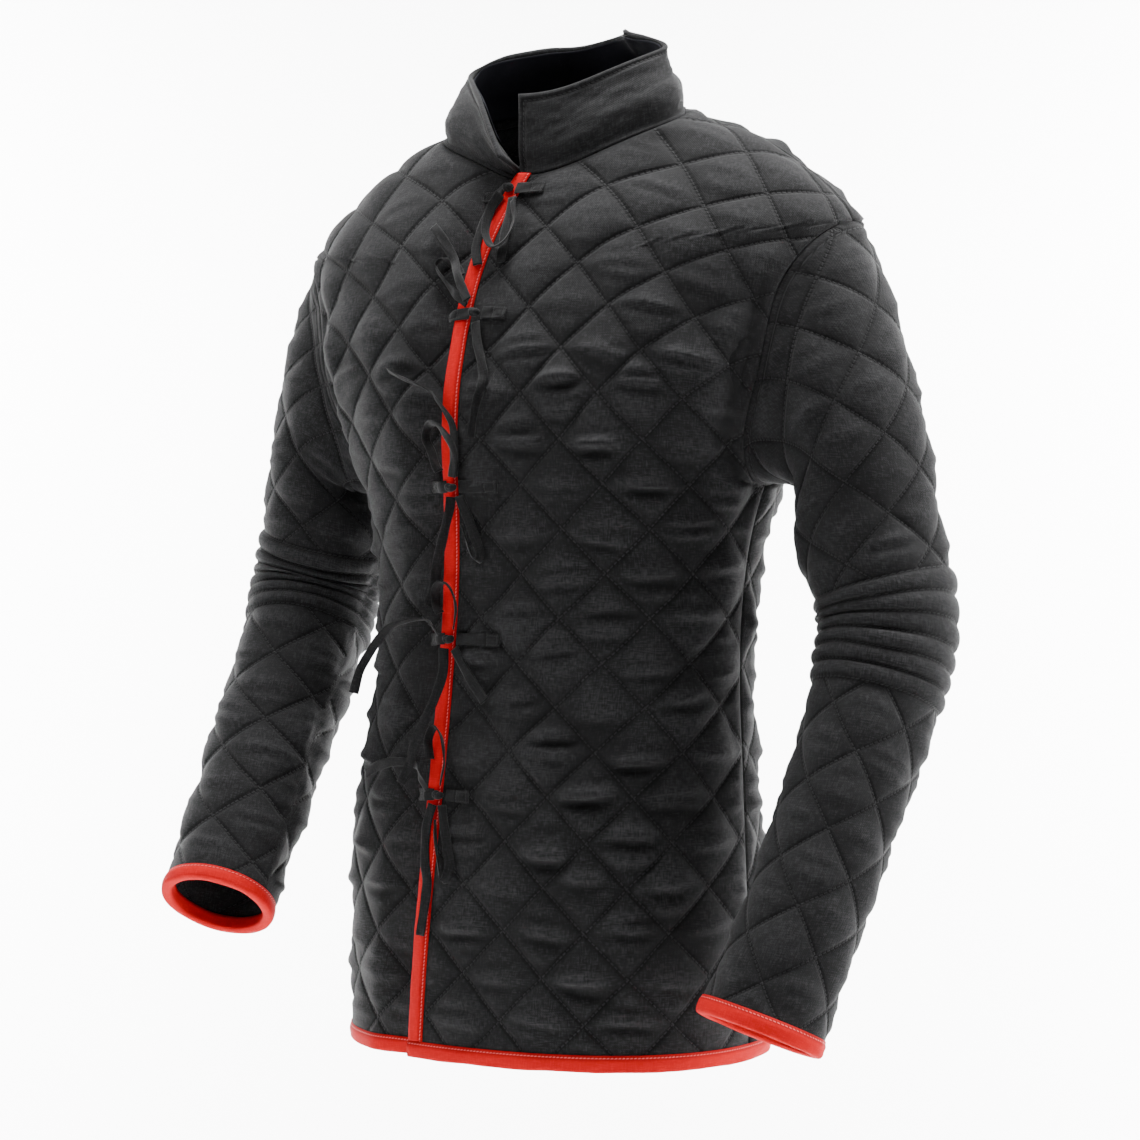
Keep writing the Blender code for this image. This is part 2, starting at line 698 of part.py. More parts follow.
def sleeve_surface(table, steps):
    """A sleeve's middle surface: rings by points. It leaves the armhole in the armhole's shape."""
    side = np.sign(table[0].x)
    loop, loop_normal = armhole_loop(side)
    tangent = np.roll(loop, -1, axis=0) - np.roll(loop, 1, axis=0)
    into = unit(np.cross(loop_normal, tangent)) * side
    turn = np.linspace(0.0, 2 * np.pi, len(loop), endpoint=False)
    fall = CAP_DROP * (1 + np.cos(turn))[:, None] / 2
    hole = unit(np.array(ARMHOLE_NORMAL) * [side, 1.0, 1.0] - fall * [0.0, 0.0, 1.0])
    centre = sleeve_centre(table, steps)
    ahead = sleeve_centre(table, np.minimum(steps + 0.3, 9.0))
    along = unit(ahead - sleeve_centre(table, np.maximum(steps - 0.3, 0.0)))
    forward = np.array([0.0, -1.0, 0.0]) + along * along[:, 1:2]
    forward = unit(forward)
    outer = side * np.cross(forward, along)
    wide = through(table, "side_radius", steps)[:, None, None]
    deep = through(table, "front_radius", steps)[:, None, None]
    tube = centre[:, None] + wide * outer[:, None] * np.cos(turn)[None, :, None]
    tube = tube + deep * forward[:, None] * np.sin(turn)[None, :, None]
    gone = np.linalg.norm(np.diff(centre, axis=0), axis=1)
    gone = np.concatenate([[0.0], np.cumsum(gone)])[:, None, None]
    fade = smooth(steps / SLEEVE_CAP_STEPS)[:, None, None]
    turned = CAP_TURN * (1 - np.exp(-gone / CAP_TURN))
    cap = loop + into * (ARMHOLE_GAP + turned) + hole * (gone - turned)
    rings = cap * (1 - fade) + tube * fade
    normals = surface_normals(rings, closed=True)
    normals *= np.sign(np.sum(normals * (rings - centre[:, None])))
    normals[0] = loop_normal
    normals[1] = unit(loop_normal + normals[2])
    return rings, normals


def make_sleeves():
    last = CUFF_BINDING_WIDTH / 0.075
    steps = np.concatenate([CAP_STEPS, np.linspace(0.75, 9.0 - last, SLEEVE_RINGS), [9.0]])
    for side, table in (("left", LEFT_SLEEVE), ("right", RIGHT_SLEEVE)):
        rings, normals = sleeve_surface(table, steps)
        wall = normals * WALL / 2
        sweep("sleeve_" + side, [*(rings + wall), *(rings - wall)[::-1]], CHARCOAL, 0.85, True)
        name = "cuff_binding_" + side
        binding(name, rings[-1], normals[-1], rings[-2], normals[-2], True)


# ---------------------------------------------------------------- ties


def on_cloth(tie, across, down, lift):
    """Points over the fronts, round from a tie's knot; past the over front, down to the under."""
    z = tie.height - down
    line = angle_at_x(through(FRONT_EDGE, "over_x", tie.height), z)
    across = across + tie.across
    reach = reach_at(line, z)
    angle = line + across / reach
    reach = (reach + reach_at(angle, z)) / 2
    angle = line + across / reach
    normal = body_normal(angle, z)
    past = (over_edge(z) - angle) * reach
    sink = np.where(past > 0, lap_inset(angle, z) * smooth(past / SINK_WIDTH), 0.0)
    place = body_point(angle, z) + (WALL / 2 + lift - sink)[..., None] * normal
    return place, normal


def tab_bends(start, finish):
    """The route of a sewn tab, straight across from the knot."""
    return tuple(Bend(start + (finish - start) * f, 0.001 * f, 0.0023, 0) for f in (0.0, 0.5, 1.0))


def tape(name, tie, bends, width=TAPE_WIDTH, detail=2):
    """A flat tape through a route of bends."""
    at = np.arange(len(bends), dtype=float)
    fine = np.linspace(0, len(bends) - 1, (len(bends) - 1) * detail + 1)
    rows = [Turn(k, *bend) for k, bend in zip(at, bends)]
    across, down, lift, turn = (through(rows, f, fine) for f in ("across", "down", "lift", "turn"))
    standing = TAPE_CLEAR + np.abs(np.sin(np.radians(turn))) * width / 2
    middle, normal = on_cloth(tie, across, down, np.maximum(lift, standing))
    along = unit(np.gradient(middle, axis=0))
    normal = unit(normal - along * np.sum(normal * along, axis=1)[:, None])
    side = np.cross(along, normal)
    turn = np.radians(turn)[:, None]
    wide = (np.cos(turn) * side + np.sin(turn) * normal) * width / 2
    thick = (np.cos(turn) * normal - np.sin(turn) * side) * TAPE / 2
    rings = np.stack(
        [middle - wide - thick, middle + wide - thick, middle + wide + thick, middle - wide + thick],
        axis=1,
    )
    sweep(name, rings, BLACK, 0.7)


def make_knot(name, tie):
    """A small pulled-tight lump where the two tapes cross."""
    centre, normal = on_cloth(tie, np.zeros(1), np.zeros(1), np.array([KNOT_LIFT]))
    centre, normal = centre[0], normal[0]
    side = unit(np.cross([0.0, 0.0, 1.0], normal))
    rise = np.cross(normal, side)
    wide, thick, tall = KNOT_SIZE
    rings = []
    for share in (-1.0, -0.65, 0.0, 0.65, 1.0):
        size = np.sqrt(max(1 - share**2, 0.0)) * 0.6 + 0.4
        ring = []
        for k in range(10):
            a = 2 * np.pi * k / 10
            out = np.cos(a) * normal * thick + np.sin(a) * rise * tall / 2
            ring.append(centre + side * share * wide / 2 + out * size)
        rings.append(ring)
    sweep(name, rings, BLACK, 0.7)


def make_ties():
    for number, (tie, tapes) in enumerate(zip(TIES, TIE_TAPES), 1):
        name = f"tie_{number}_"
        tape(name + "tab_left", tie, tab_bends(TAB_START, tie.tab), 0.010)
        tape(name + "tab_right", tie, tab_bends(-TAB_START, -TAB_RIGHT), 0.010)
        make_knot(name + "knot", tie)
        for label, bends in tapes:
            tape(name + label, tie, bends)


def main():
    for obj in list(bpy.data.objects):
        bpy.data.objects.remove(obj, do_unlink=True)
    collection = bpy.data.collections.new(OBJECT)
    bpy.context.scene.collection.children.link(collection)
    make_body()
    make_front_bindings()
    make_hem_binding()
    make_collar()
    make_sleeves()
    make_ties()


main()
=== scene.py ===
"""Gambeson: the quilted jacket's finished look, piece by piece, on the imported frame."""

from collections import namedtuple

import bmesh
import bpy
import numpy as np
from bpy.props import FloatProperty, FloatVectorProperty, PointerProperty
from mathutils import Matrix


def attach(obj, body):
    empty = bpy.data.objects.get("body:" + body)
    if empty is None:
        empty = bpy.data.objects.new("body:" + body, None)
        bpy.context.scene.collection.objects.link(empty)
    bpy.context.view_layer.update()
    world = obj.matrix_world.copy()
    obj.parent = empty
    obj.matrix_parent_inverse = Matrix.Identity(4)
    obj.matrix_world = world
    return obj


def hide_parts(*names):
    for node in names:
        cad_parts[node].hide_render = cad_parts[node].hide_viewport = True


bl_info = {
    "name": "Gambeson",
    "version": (1, 0, 0),
    "blender": (4, 5, 0),
    "location": "3D View > Sidebar > Gambeson",
    "description": "Builds a quilted jacket in its worn form",
    "category": "Add Mesh",
}

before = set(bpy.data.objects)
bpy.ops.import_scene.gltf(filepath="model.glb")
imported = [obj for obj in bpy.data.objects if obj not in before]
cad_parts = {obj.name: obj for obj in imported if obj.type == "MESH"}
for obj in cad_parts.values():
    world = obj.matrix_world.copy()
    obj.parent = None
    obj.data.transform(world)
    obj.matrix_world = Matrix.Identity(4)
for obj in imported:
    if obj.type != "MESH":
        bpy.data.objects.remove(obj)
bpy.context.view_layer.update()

# Cloth, in metres
WALL = 0.006  # quilted body and sleeves: two faces and the batting
COLLAR_WALL = 0.005
LINING = 0.0012
BINDING = 0.001  # the folded strip that wraps a raw edge
SEAM = 0.0003  # gap between neighbouring pieces
BINDING_GAP = 0.0005  # between a binding's legs and the cloth inside it
HEM_BINDING_WIDTH = 0.012
EDGE_BINDING_WIDTH = 0.014
CUFF_BINDING_WIDTH = 0.012
TAPE_WIDTH = 0.008
TAPE = 0.0012
ARMHOLE_GAP = 0.0007
LINING_GAP = 0.0007
LAP_INSET = 0.0098  # how far the under front is set in below the over front
LAP_RAMP = 0.045  # the width over which it comes back out

# Heights of the cut
HEM_Z = -0.772
PIT_Z = -0.310
TIP_Z = -0.100
FRONT_TIP_Z = -0.130
BACK_TIP_Z = -0.075
FRONT_NECK_Z = -0.054
BACK_NECK_Z = 0.022
FRONT_NECK_CURVE = 1.15

# The armhole, as degrees before and behind the side line, and how square its oval is
ARMHOLE_FRONT = np.radians(17.0)
ARMHOLE_BACK = np.radians(16.0)
ARMHOLE_SQUARE = 2.4
ROUNDNESS = 2.25  # exponent of the body's cross-section: 2 is an ellipse

# The body's middle surface, a row for each height
Level = namedtuple("Level", "z half_width front_y back_y side_y shift_x")
BODY = (
    Level(-0.790, 0.1785, -0.138, 0.128, 0.000, -0.010),
    Level(-0.705, 0.1800, -0.137, 0.125, 0.000, -0.011),
    Level(-0.613, 0.1785, -0.132, 0.116, 0.000, -0.012),
    Level(-0.537, 0.1725, -0.127, 0.106, 0.000, -0.009),
    Level(-0.470, 0.1660, -0.121, 0.098, 0.000, -0.005),
    Level(-0.403, 0.1655, -0.118, 0.100, 0.000, -0.002),
    Level(-0.340, 0.1740, -0.122, 0.115, 0.000, 0.000),
    Level(-0.277, 0.1960, -0.128, 0.133, 0.004, 0.000),
    Level(-0.220, 0.2290, -0.124, 0.138, 0.008, 0.000),
    Level(-0.160, 0.2490, -0.107, 0.132, 0.012, 0.000),
    Level(-0.100, 0.2550, -0.085, 0.120, 0.015, 0.000),
    Level(-0.071, 0.2320, -0.070, 0.111, 0.016, 0.000),
    Level(-0.046, 0.2010, -0.057, 0.103, 0.016, 0.000),
    Level(-0.022, 0.1600, -0.046, 0.095, 0.015, 0.000),
    Level(0.000, 0.1040, -0.036, 0.086, 0.012, 0.000),
    Level(0.024, 0.0700, -0.030, 0.074, 0.010, 0.000),
)

# The front edge of the over (left) front, and how far the under front runs on beneath it
Edge = namedtuple("Edge", "z over_x lap")
FRONT_EDGE = (
    Edge(-0.790, -0.070, 0.045),
    Edge(-0.640, -0.060, 0.045),
    Edge(-0.540, -0.052, 0.045),
    Edge(-0.450, -0.048, 0.045),
    Edge(-0.330, -0.041, 0.042),
    Edge(-0.220, -0.038, 0.040),
    Edge(-0.138, -0.034, 0.038),
    Edge(-0.095, -0.025, 0.034),
    Edge(-0.050, -0.010, 0.026),
)

# The sleeves' centre lines and half-sizes, a row for each section from armhole to cuff
Section = namedtuple("Section", "step x y z side_radius front_radius")
LEFT_SLEEVE = (
    Section(0, 0.2180, 0.012, -0.205, 0.062, 0.062),
    Section(1, 0.2420, 0.018, -0.262, 0.060, 0.062),
    Section(2, 0.2580, 0.020, -0.315, 0.058, 0.058),
    Section(3, 0.2720, 0.021, -0.365, 0.055, 0.055),
    Section(4, 0.2850, 0.020, -0.418, 0.052, 0.055),
    Section(5, 0.2820, 0.004, -0.475, 0.050, 0.050),
    Section(6, 0.2740, -0.022, -0.535, 0.047, 0.047),
    Section(7, 0.2630, -0.051, -0.605, 0.045, 0.045),
    Section(8, 0.2500, -0.076, -0.665, 0.045, 0.043),
    Section(9, 0.2340, -0.102, -0.733, 0.048, 0.042),
)
RIGHT_SLEEVE = (
    Section(0, -0.2180, 0.012, -0.205, 0.062, 0.062),
    Section(1, -0.2430, 0.018, -0.258, 0.060, 0.062),
    Section(2, -0.2580, 0.020, -0.305, 0.058, 0.058),
    Section(3, -0.2700, 0.021, -0.350, 0.056, 0.055),
    Section(4, -0.2810, 0.020, -0.396, 0.053, 0.056),
    Section(5, -0.2780, -0.010, -0.455, 0.052, 0.052),
    Section(6, -0.2700, -0.050, -0.508, 0.049, 0.049),
    Section(7, -0.2600, -0.092, -0.560, 0.047, 0.047),
    Section(8, -0.2520, -0.128, -0.607, 0.046, 0.045),
    Section(9, -0.2450, -0.165, -0.657, 0.044, 0.044),
)
SLEEVE_END = 9.0  # the cuff's place in the tables
CUFF_STEP = 0.075  # the length of the tables' last step
SLEEVE_COLUMNS = 132
SLEEVE_CAP_STEPS = 2.6  # how many steps of the table the armhole's shape takes to fade
CAP_DROP = 1.3  # how steeply the top of the cap falls
ARMHOLE_NORMAL = (0.93, 0.0, -0.36)
CAP_TURN = 0.007  # how far the cap follows the panel's own direction before it turns

# The collar, a row for each angle round the neck: 0 is centre front, 90 the wearer's left.
# lean is degrees outward from upright; the right half falls open towards its front end.
Stand = namedtuple("Stand", "angle height lean puff")
COLLAR = (
    Stand(0, 0.062, 4, 0.003),
    Stand(30, 0.061, -2, 0.005),
    Stand(60, 0.065, -14, 0.008),
    Stand(90, 0.073, -28, 0.011),
    Stand(120, 0.073, -34, 0.011),
    Stand(150, 0.058, -22, 0.010),
    Stand(180, 0.051, -10, 0.009),
    Stand(210, 0.050, -14, 0.009),
    Stand(235, 0.058, -22, 0.010),
    Stand(270, 0.064, -20, 0.011),
    Stand(300, 0.062, -15, 0.010),
    Stand(320, 0.051, 6, 0.007),
    Stand(335, 0.047, 36, 0.004),
    Stand(352, 0.044, 76, 0.000),
)
COLLAR_END = -8.0
COLLAR_TURN = 0.0065
COLLAR_GAP = 0.0008

# How the collar puffs out, at shares of its height
COLLAR_RISE = (0.04, 0.14, 0.28, 0.46, 0.72, 1.0)
PUFF_SHAPE = (0.30, 0.80, 1.0, 0.60, 0.15, 0.0)

# Ties: where each knot is, how far its left tab runs, and the routes of its tapes, in metres.
# across is measured round the body from the knot towards the wearer's left, down from the knot,
# lift off the cloth; turn is the degrees by which the tape stands up from lying flat.
Bend = namedtuple("Bend", "across down lift turn")
Turn = namedtuple("Turn", "at across down lift turn")
Tie = namedtuple("Tie", "height across tab")
TIES = (
    Tie(-0.068, 0.0040, 0.034),
    Tie(-0.172, 0.0200, 0.029),
    Tie(-0.310, 0.0105, 0.043),
    Tie(-0.434, 0.0105, 0.048),
    Tie(-0.560, 0.0135, 0.028),
)
KNOT_SIZE = (0.011, 0.0042, 0.009)
KNOT_LIFT = 0.0060
SINK_WIDTH = 0.020
TAPE_CLEAR = 0.0031  # from the cloth to the middle of a tape that lies on it
TAB_WIDTH = 0.010
TAB_START = 0.0062
TAB_RIGHT = 0.028
TIE_TAPES = (
    (
        ("loop", (
            Bend(-0.003, 0.0080, 0.0095, 60),
            Bend(-0.008, 0.0220, 0.0095, 60),
            Bend(-0.006, 0.0400, 0.0095, 60),
            Bend(0.004, 0.0520, 0.0095, 60),
            Bend(0.015, 0.0460, 0.0095, 50),
            Bend(0.019, 0.0320, 0.0095, 35),
            Bend(0.012, 0.0140, 0.0100, 40),
        )),
        ("tail_left", (
            Bend(0.006, 0.0080, 0.0040, 0),
            Bend(0.008, 0.0300, 0.0040, 0),
            Bend(0.010, 0.0500, 0.0040, 5),
            Bend(0.011, 0.0630, 0.0040, 10),
        )),
        ("tail_right", (
            Bend(-0.006, 0.0070, 0.0040, 0),
            Bend(-0.014, 0.0260, 0.0040, 10),
            Bend(-0.016, 0.0480, 0.0040, 20),
            Bend(-0.011, 0.0640, 0.0040, 20),
        )),
    ),
    (
        ("tail_up", (
            Bend(-0.005, -0.0080, 0.0110, 0),
            Bend(-0.016, -0.0240, 0.0110, 0),
            Bend(-0.033, -0.0480, 0.0110, 0),
            Bend(-0.047, -0.0660, 0.0090, 0),
            Bend(-0.056, -0.0740, 0.0070, 0),
        )),
        ("loop", (
            Bend(-0.010, -0.0080, 0.0040, 15),
            Bend(-0.024, -0.0170, 0.0040, 30),
            Bend(-0.039, -0.0300, 0.0050, 60),
            Bend(-0.048, -0.0420, 0.0050, 60),
            Bend(-0.043, -0.0490, 0.0050, 55),
            Bend(-0.032, -0.0420, 0.0040, 20),
            Bend(-0.024, -0.0330, 0.0040, 10),
        )),
        ("tail_down", (
            Bend(0.002, 0.0080, 0.0045, 0),
            Bend(0.008, 0.0265, 0.0045, 5),
            Bend(0.0165, 0.0480, 0.0045, 15),
            Bend(0.018, 0.0600, 0.0045, 50),
            Bend(0.013, 0.0750, 0.0045, 75),
            Bend(0.009, 0.1000, 0.0045, 75),
        )),
    ),
    (
        ("loop", (
            Bend(0.004, -0.0080, 0.0090, 5),
            Bend(0.007, -0.0265, 0.0095, 10),
            Bend(-0.001, -0.0420, 0.0105, 25),
            Bend(-0.012, -0.0500, 0.0105, 60),
            Bend(-0.025, -0.0480, 0.0090, 70),
            Bend(-0.028, -0.0375, 0.0080, 70),
            Bend(-0.019, -0.0255, 0.0070, 70),
            Bend(-0.009, -0.0130, 0.0070, 65),
        )),
        ("tail_up", (
            Bend(0.002, -0.0080, 0.0038, 0),
            Bend(0.004, -0.0310, 0.0038, 0),
            Bend(0.000, -0.0530, 0.0042, 20),
            Bend(-0.021, -0.0740, 0.0060, 65),
            Bend(-0.047, -0.0870, 0.0060, 70),
            Bend(-0.064, -0.0940, 0.0060, 60),
        )),
        ("tail_down", (
            Bend(0.000, 0.0080, 0.0065, 50),
            Bend(-0.004, 0.0240, 0.0065, 55),
            Bend(-0.017, 0.0590, 0.0065, 55),
            Bend(-0.036, 0.0975, 0.0065, 40),
        )),
        ("loop_down", (
            Bend(0.008, 0.0070, 0.0065, 60),
            Bend(0.018, 0.0330, 0.0065, 55),
            Bend(0.025, 0.0520, 0.0065, 55),
            Bend(0.023, 0.0600, 0.0065, 60),
            Bend(0.016, 0.0530, 0.0065, 60),
            Bend(0.009, 0.0300, 0.0065, 65),
        )),
    ),
    (
        ("loop", (
            Bend(0.005, -0.0080, 0.0065, 50),
            Bend(0.008, -0.0240, 0.0080, 60),
            Bend(0.005, -0.0400, 0.0090, 65),
            Bend(-0.004, -0.0470, 0.0090, 70),
            Bend(-0.013, -0.0390, 0.0080, 65),
            Bend(-0.014, -0.0290, 0.0070, 65),
            Bend(-0.008, -0.0210, 0.0070, 65),
        )),
        ("tail_up", (
            Bend(-0.0075, -0.0045, 0.0105, 40),
            Bend(-0.016, -0.0110, 0.0105, 60),
            Bend(-0.034, -0.0155, 0.0105, 75),
            Bend(-0.062, -0.0070, 0.0120, 75),
            Bend(-0.083, 0.0110, 0.0150, 75),
            Bend(-0.096, 0.0300, 0.0190, 70),
            Bend(-0.099, 0.0500, 0.0220, 60),
        )),
        ("tail_down", (
            Bend(0.005, 0.0080, 0.0045, 0),
            Bend(0.014, 0.0220, 0.0045, 5),
            Bend(0.026, 0.0370, 0.0045, 10),
            Bend(0.037, 0.0500, 0.0045, 0),
        )),
        ("tail_long", (
            Bend(-0.004, 0.0080, 0.0065, 50),
            Bend(-0.001, 0.0310, 0.0110, 60),
            Bend(-0.007, 0.0600, 0.0170, 50),
            Bend(-0.020, 0.0860, 0.0180, 40),
            Bend(-0.038, 0.1190, 0.0190, 30),
        )),
    ),
    (
        ("loop_up", (
            Bend(0.002, -0.0080, 0.0065, 50),
            Bend(0.006, -0.0280, 0.0075, 60),
            Bend(0.003, -0.0460, 0.0085, 65),
            Bend(-0.005, -0.0540, 0.0085, 65),
            Bend(-0.011, -0.0440, 0.0075, 65),
            Bend(-0.009, -0.0280, 0.0065, 60),
        )),
        ("tail_up", (
            Bend(-0.0075, -0.0045, 0.0105, 20),
            Bend(-0.016, -0.0140, 0.0105, 25),
            Bend(-0.028, -0.0215, 0.0100, 30),
            Bend(-0.044, -0.0240, 0.0085, 30),
            Bend(-0.067, -0.0200, 0.0070, 20),
            Bend(-0.090, -0.0115, 0.0070, 10),
        )),
        ("loop", (
            Bend(0.005, 0.0080, 0.0065, 60),
            Bend(0.010, 0.0350, 0.0065, 60),
            Bend(0.014, 0.0570, 0.0065, 45),
            Bend(0.008, 0.0690, 0.0065, 60),
            Bend(0.003, 0.0560, 0.0065, 60),
            Bend(-0.001, 0.0330, 0.0065, 65),
            Bend(-0.001, 0.0200, 0.0065, 65),
        )),
        ("tail_down", (
            Bend(-0.006, 0.0080, 0.0045, 10),
            Bend(-0.012, 0.0300, 0.0045, 15),
            Bend(-0.012, 0.0550, 0.0045, 20),
            Bend(-0.009, 0.0760, 0.0045, 20),
            Bend(-0.014, 0.1140, 0.0045, 15),
        )),
    ),
)

# ---------------------------------------------------------------- reading the tables


def through(rows, field, at):
    """A smooth curve through one column of a table, read at the values given."""
    knots = np.array([row[0] for row in rows], float)
    values = np.array([getattr(row, field) for row in rows], float)
    slopes = np.gradient(values, knots)
    at = np.clip(np.asarray(at, float), knots[0], knots[-1])
    i = np.clip(np.searchsorted(knots, at, side="right") - 1, 0, len(knots) - 2)
    span = knots[i + 1] - knots[i]
    f = (at - knots[i]) / span
    rise = f * f * (3 - 2 * f)
    start = span * slopes[i] * f * (1 - f) ** 2
    finish = span * slopes[i + 1] * f * f * (f - 1)
    return values[i] + (values[i + 1] - values[i]) * rise + start + finish


def smooth(x):
    x = np.clip(x, 0.0, 1.0)
    return x * x * (3 - 2 * x)


def unit(v):
    return v / np.linalg.norm(v, axis=-1, keepdims=True)


def distance_gone(points, axis=0):
    """How far each point is from the first, along a line or along an axis of a table."""
    gone = np.cumsum(np.linalg.norm(np.diff(points, axis=axis), axis=-1), axis=axis)
    return np.concatenate([np.zeros_like(np.take(gone, [0], axis)), gone], axis=axis)


# ---------------------------------------------------------------- the body's surface


def depth_at(angle, z):
    side_y = through(BODY, "side_y", z)
    front = side_y - through(BODY, "front_y", z)
    back = through(BODY, "back_y", z) - side_y
    return np.where(np.cos(angle) > 0, front, back)


def reach_at(angle, z):
    """How far the body's surface is from its centre line."""
    across = np.abs(np.sin(angle)) / through(BODY, "half_width", z)
    along = np.abs(np.cos(angle)) / depth_at(angle, z)
    return (across**ROUNDNESS + along**ROUNDNESS) ** (-1.0 / ROUNDNESS)


def body_point(angle, z):
    angle, z = np.broadcast_arrays(np.asarray(angle, float), np.asarray(z, float))
    reach = reach_at(angle, z)
    x = through(BODY, "shift_x", z) + reach * np.sin(angle)
    y = through(BODY, "side_y", z) - reach * np.cos(angle)
    return np.stack([x, y, z], axis=-1)


def body_normal(angle, z):
    turn, climb = 1e-3, 5e-4
    round_it = body_point(angle + turn, z) - body_point(angle - turn, z)
    up = body_point(angle, z + climb) - body_point(angle, z - climb)
    return unit(np.cross(round_it, up))


def angle_at_x(x, z):
    """The angle at which the front has this x."""
    half = through(BODY, "half_width", z)
    x = x - through(BODY, "shift_x", z)
    depth = depth_at(0.0, z) * (1 - (np.abs(x) / half) ** ROUNDNESS) ** (1 / ROUNDNESS)
    return np.arctan2(x, depth)


def over_edge(z):
    return angle_at_x(through(FRONT_EDGE, "over_x", z), z)


def under_edge(z):
    return angle_at_x(through(FRONT_EDGE, "over_x", z) + through(FRONT_EDGE, "lap", z), z)


def row_height(step, angle):
    """Heights of a panel's rows: 0 to 1 is hem to armpit, 1 to 2 the armhole, 2 to 3 the yoke."""
    fade = np.abs(np.cos(angle))
    front = np.cos(angle) > 0
    tip = TIP_Z + (np.where(front, FRONT_TIP_Z, BACK_TIP_Z) - TIP_Z) * fade
    neck = np.where(front, FRONT_NECK_Z * fade**FRONT_NECK_CURVE, BACK_NECK_Z * fade)
    skirt = HEM_Z + (PIT_Z - HEM_Z) * np.clip(step, 0, 1)
    armhole = (tip - PIT_Z) * np.clip(step - 1, 0, 1)
    return skirt + armhole + (neck - tip) * np.clip(step - 2, 0, 1)


def armhole_shape(step):
    """0 at the armpit and the shoulder tip, 1 at the armhole's widest."""
    along = np.clip(step - 1, 0, 1)
    return (1 - np.abs(2 * along - 1) ** ARMHOLE_SQUARE) ** (1 / ARMHOLE_SQUARE)


def side_line(step, side, swing):
    """The angle of a panel's side edge at each row, half a seam gap short of the side seam."""
    angle = side - swing * armhole_shape(step)
    reach = reach_at(angle, row_height(step, angle))
    return angle - np.sign(swing) * 0.5 * SEAM / reach


def lap_inset(angle, z):
    """How far the under front is set in: fully under the over front, and out again beyond it."""
    beyond = (over_edge(z) - angle) * reach_at(angle, z)
    return LAP_INSET * (1 - smooth((beyond - 0.008) / LAP_RAMP))


# ---------------------------------------------------------------- sleeves' middle surface


def surface_normals(points, closed=False):
    """The normals of a table of points, rows by columns; closed if its columns go all round."""
    if closed:
        across = np.roll(points, -1, axis=1) - np.roll(points, 1, axis=1)
    else:
        across = np.gradient(points, axis=1)
    along = np.gradient(points, axis=0)
    return unit(np.cross(across, along))


def armhole_edge(side, place):
    """Points and normals round an armhole; place is 0 at the tip, 0.5 under the arm, 1 back."""
    ahead = place < 0.5
    step = 1.0 + np.abs(1.0 - 2.0 * place)
    front = np.pi / 2 - ARMHOLE_FRONT * armhole_shape(step)
    behind = np.pi / 2 + ARMHOLE_BACK * armhole_shape(step)
    angle = side * np.where(ahead, front, behind)
    z = row_height(step, angle)
    normal = body_normal(angle, z)
    point = body_point(angle, z)
    if side < 0:
        sink = np.where(ahead, lap_inset(angle, z), 0.0)
        point = point - sink[:, None] * normal
    return point, normal


def even_places(side, count):
    """Places round the armhole that are evenly spaced along it, the tip and the pit kept."""
    place = np.linspace(0.0, 1.0, 801)
    place = 0.5 - 0.5 * np.cos(np.pi * (2 * place % 1.0)) + np.where(place < 0.5, 0.0, 1.0)
    place[-1] = 2.0
    place = place / 2
    point, _ = armhole_edge(side, place)
    gone = distance_gone(point)
    half = len(place) // 2
    first = np.interp(np.linspace(0, gone[half], count // 2 + 1)[:-1], gone, place)
    second = np.interp(np.linspace(gone[half], gone[-1], count // 2 + 1)[:-1], gone, place)
    return np.concatenate([first, second])


def cad_turn(place):
    """The turn round the sleeve that belongs to a place on the armhole, as the frame has it."""
    height = np.abs(1.0 - 2.0 * place)
    share = np.arccos(1 - 2 * height) / np.pi
    return np.where(place < 0.5, (1 - share) * np.pi, (1 + share) * np.pi)


def sleeve_centre(table, step):
    return np.stack([through(table, axis, step) for axis in "xyz"], axis=-1)


def sleeve_surface(table, steps, count):
    """A sleeve's middle surface: rings by points. It leaves the armhole in the armhole's shape."""
    side = np.sign(table[0].x)
    place = even_places(side, count)
    loop, loop_normal = armhole_edge(side, place)
    tangent = np.roll(loop, -1, axis=0) - np.roll(loop, 1, axis=0)
    into = unit(np.cross(loop_normal, tangent)) * side
    turn = cad_turn(place)
    fall = CAP_DROP * (1 + np.cos(turn))[:, None] / 2
    hole = unit(np.array(ARMHOLE_NORMAL) * [side, 1.0, 1.0] - fall * [0.0, 0.0, 1.0])
    centre = sleeve_centre(table, steps)
    ahead = sleeve_centre(table, np.minimum(steps + 0.3, SLEEVE_END))
    along = unit(ahead - sleeve_centre(table, np.maximum(steps - 0.3, 0.0)))
    forward = np.array([0.0, -1.0, 0.0]) + along * along[:, 1:2]
    forward = unit(forward)
    outer = side * np.cross(forward, along)
    wide = through(table, "side_radius", steps)[:, None, None]
    deep = through(table, "front_radius", steps)[:, None, None]
    evened = np.linspace(0.0, 2 * np.pi, count, endpoint=False)
    ease = smooth(steps / 4.0)[:, None]
    turn = turn[None, :] * (1 - ease) + evened[None, :] * ease
    tube = centre[:, None] + wide * outer[:, None] * np.cos(turn)[..., None]
    tube = tube + deep * forward[:, None] * np.sin(turn)[..., None]
    gone = distance_gone(centre)[:, None, None]
    fade = smooth(steps / SLEEVE_CAP_STEPS)[:, None, None]
    turned = CAP_TURN * (1 - np.exp(-gone / CAP_TURN))
    cap = loop + into * (ARMHOLE_GAP + turned) + hole * (gone - turned)
    rings = cap * (1 - fade) + tube * fade
    normals = surface_normals(rings, closed=True)
    normals *= np.sign(np.sum(normals * (rings - centre[:, None])))
    normals[0] = loop_normal
    normals[1] = unit(loop_normal + normals[2])
    return rings, normals


# ---------------------------------------------------------------- flat cloth and quilting


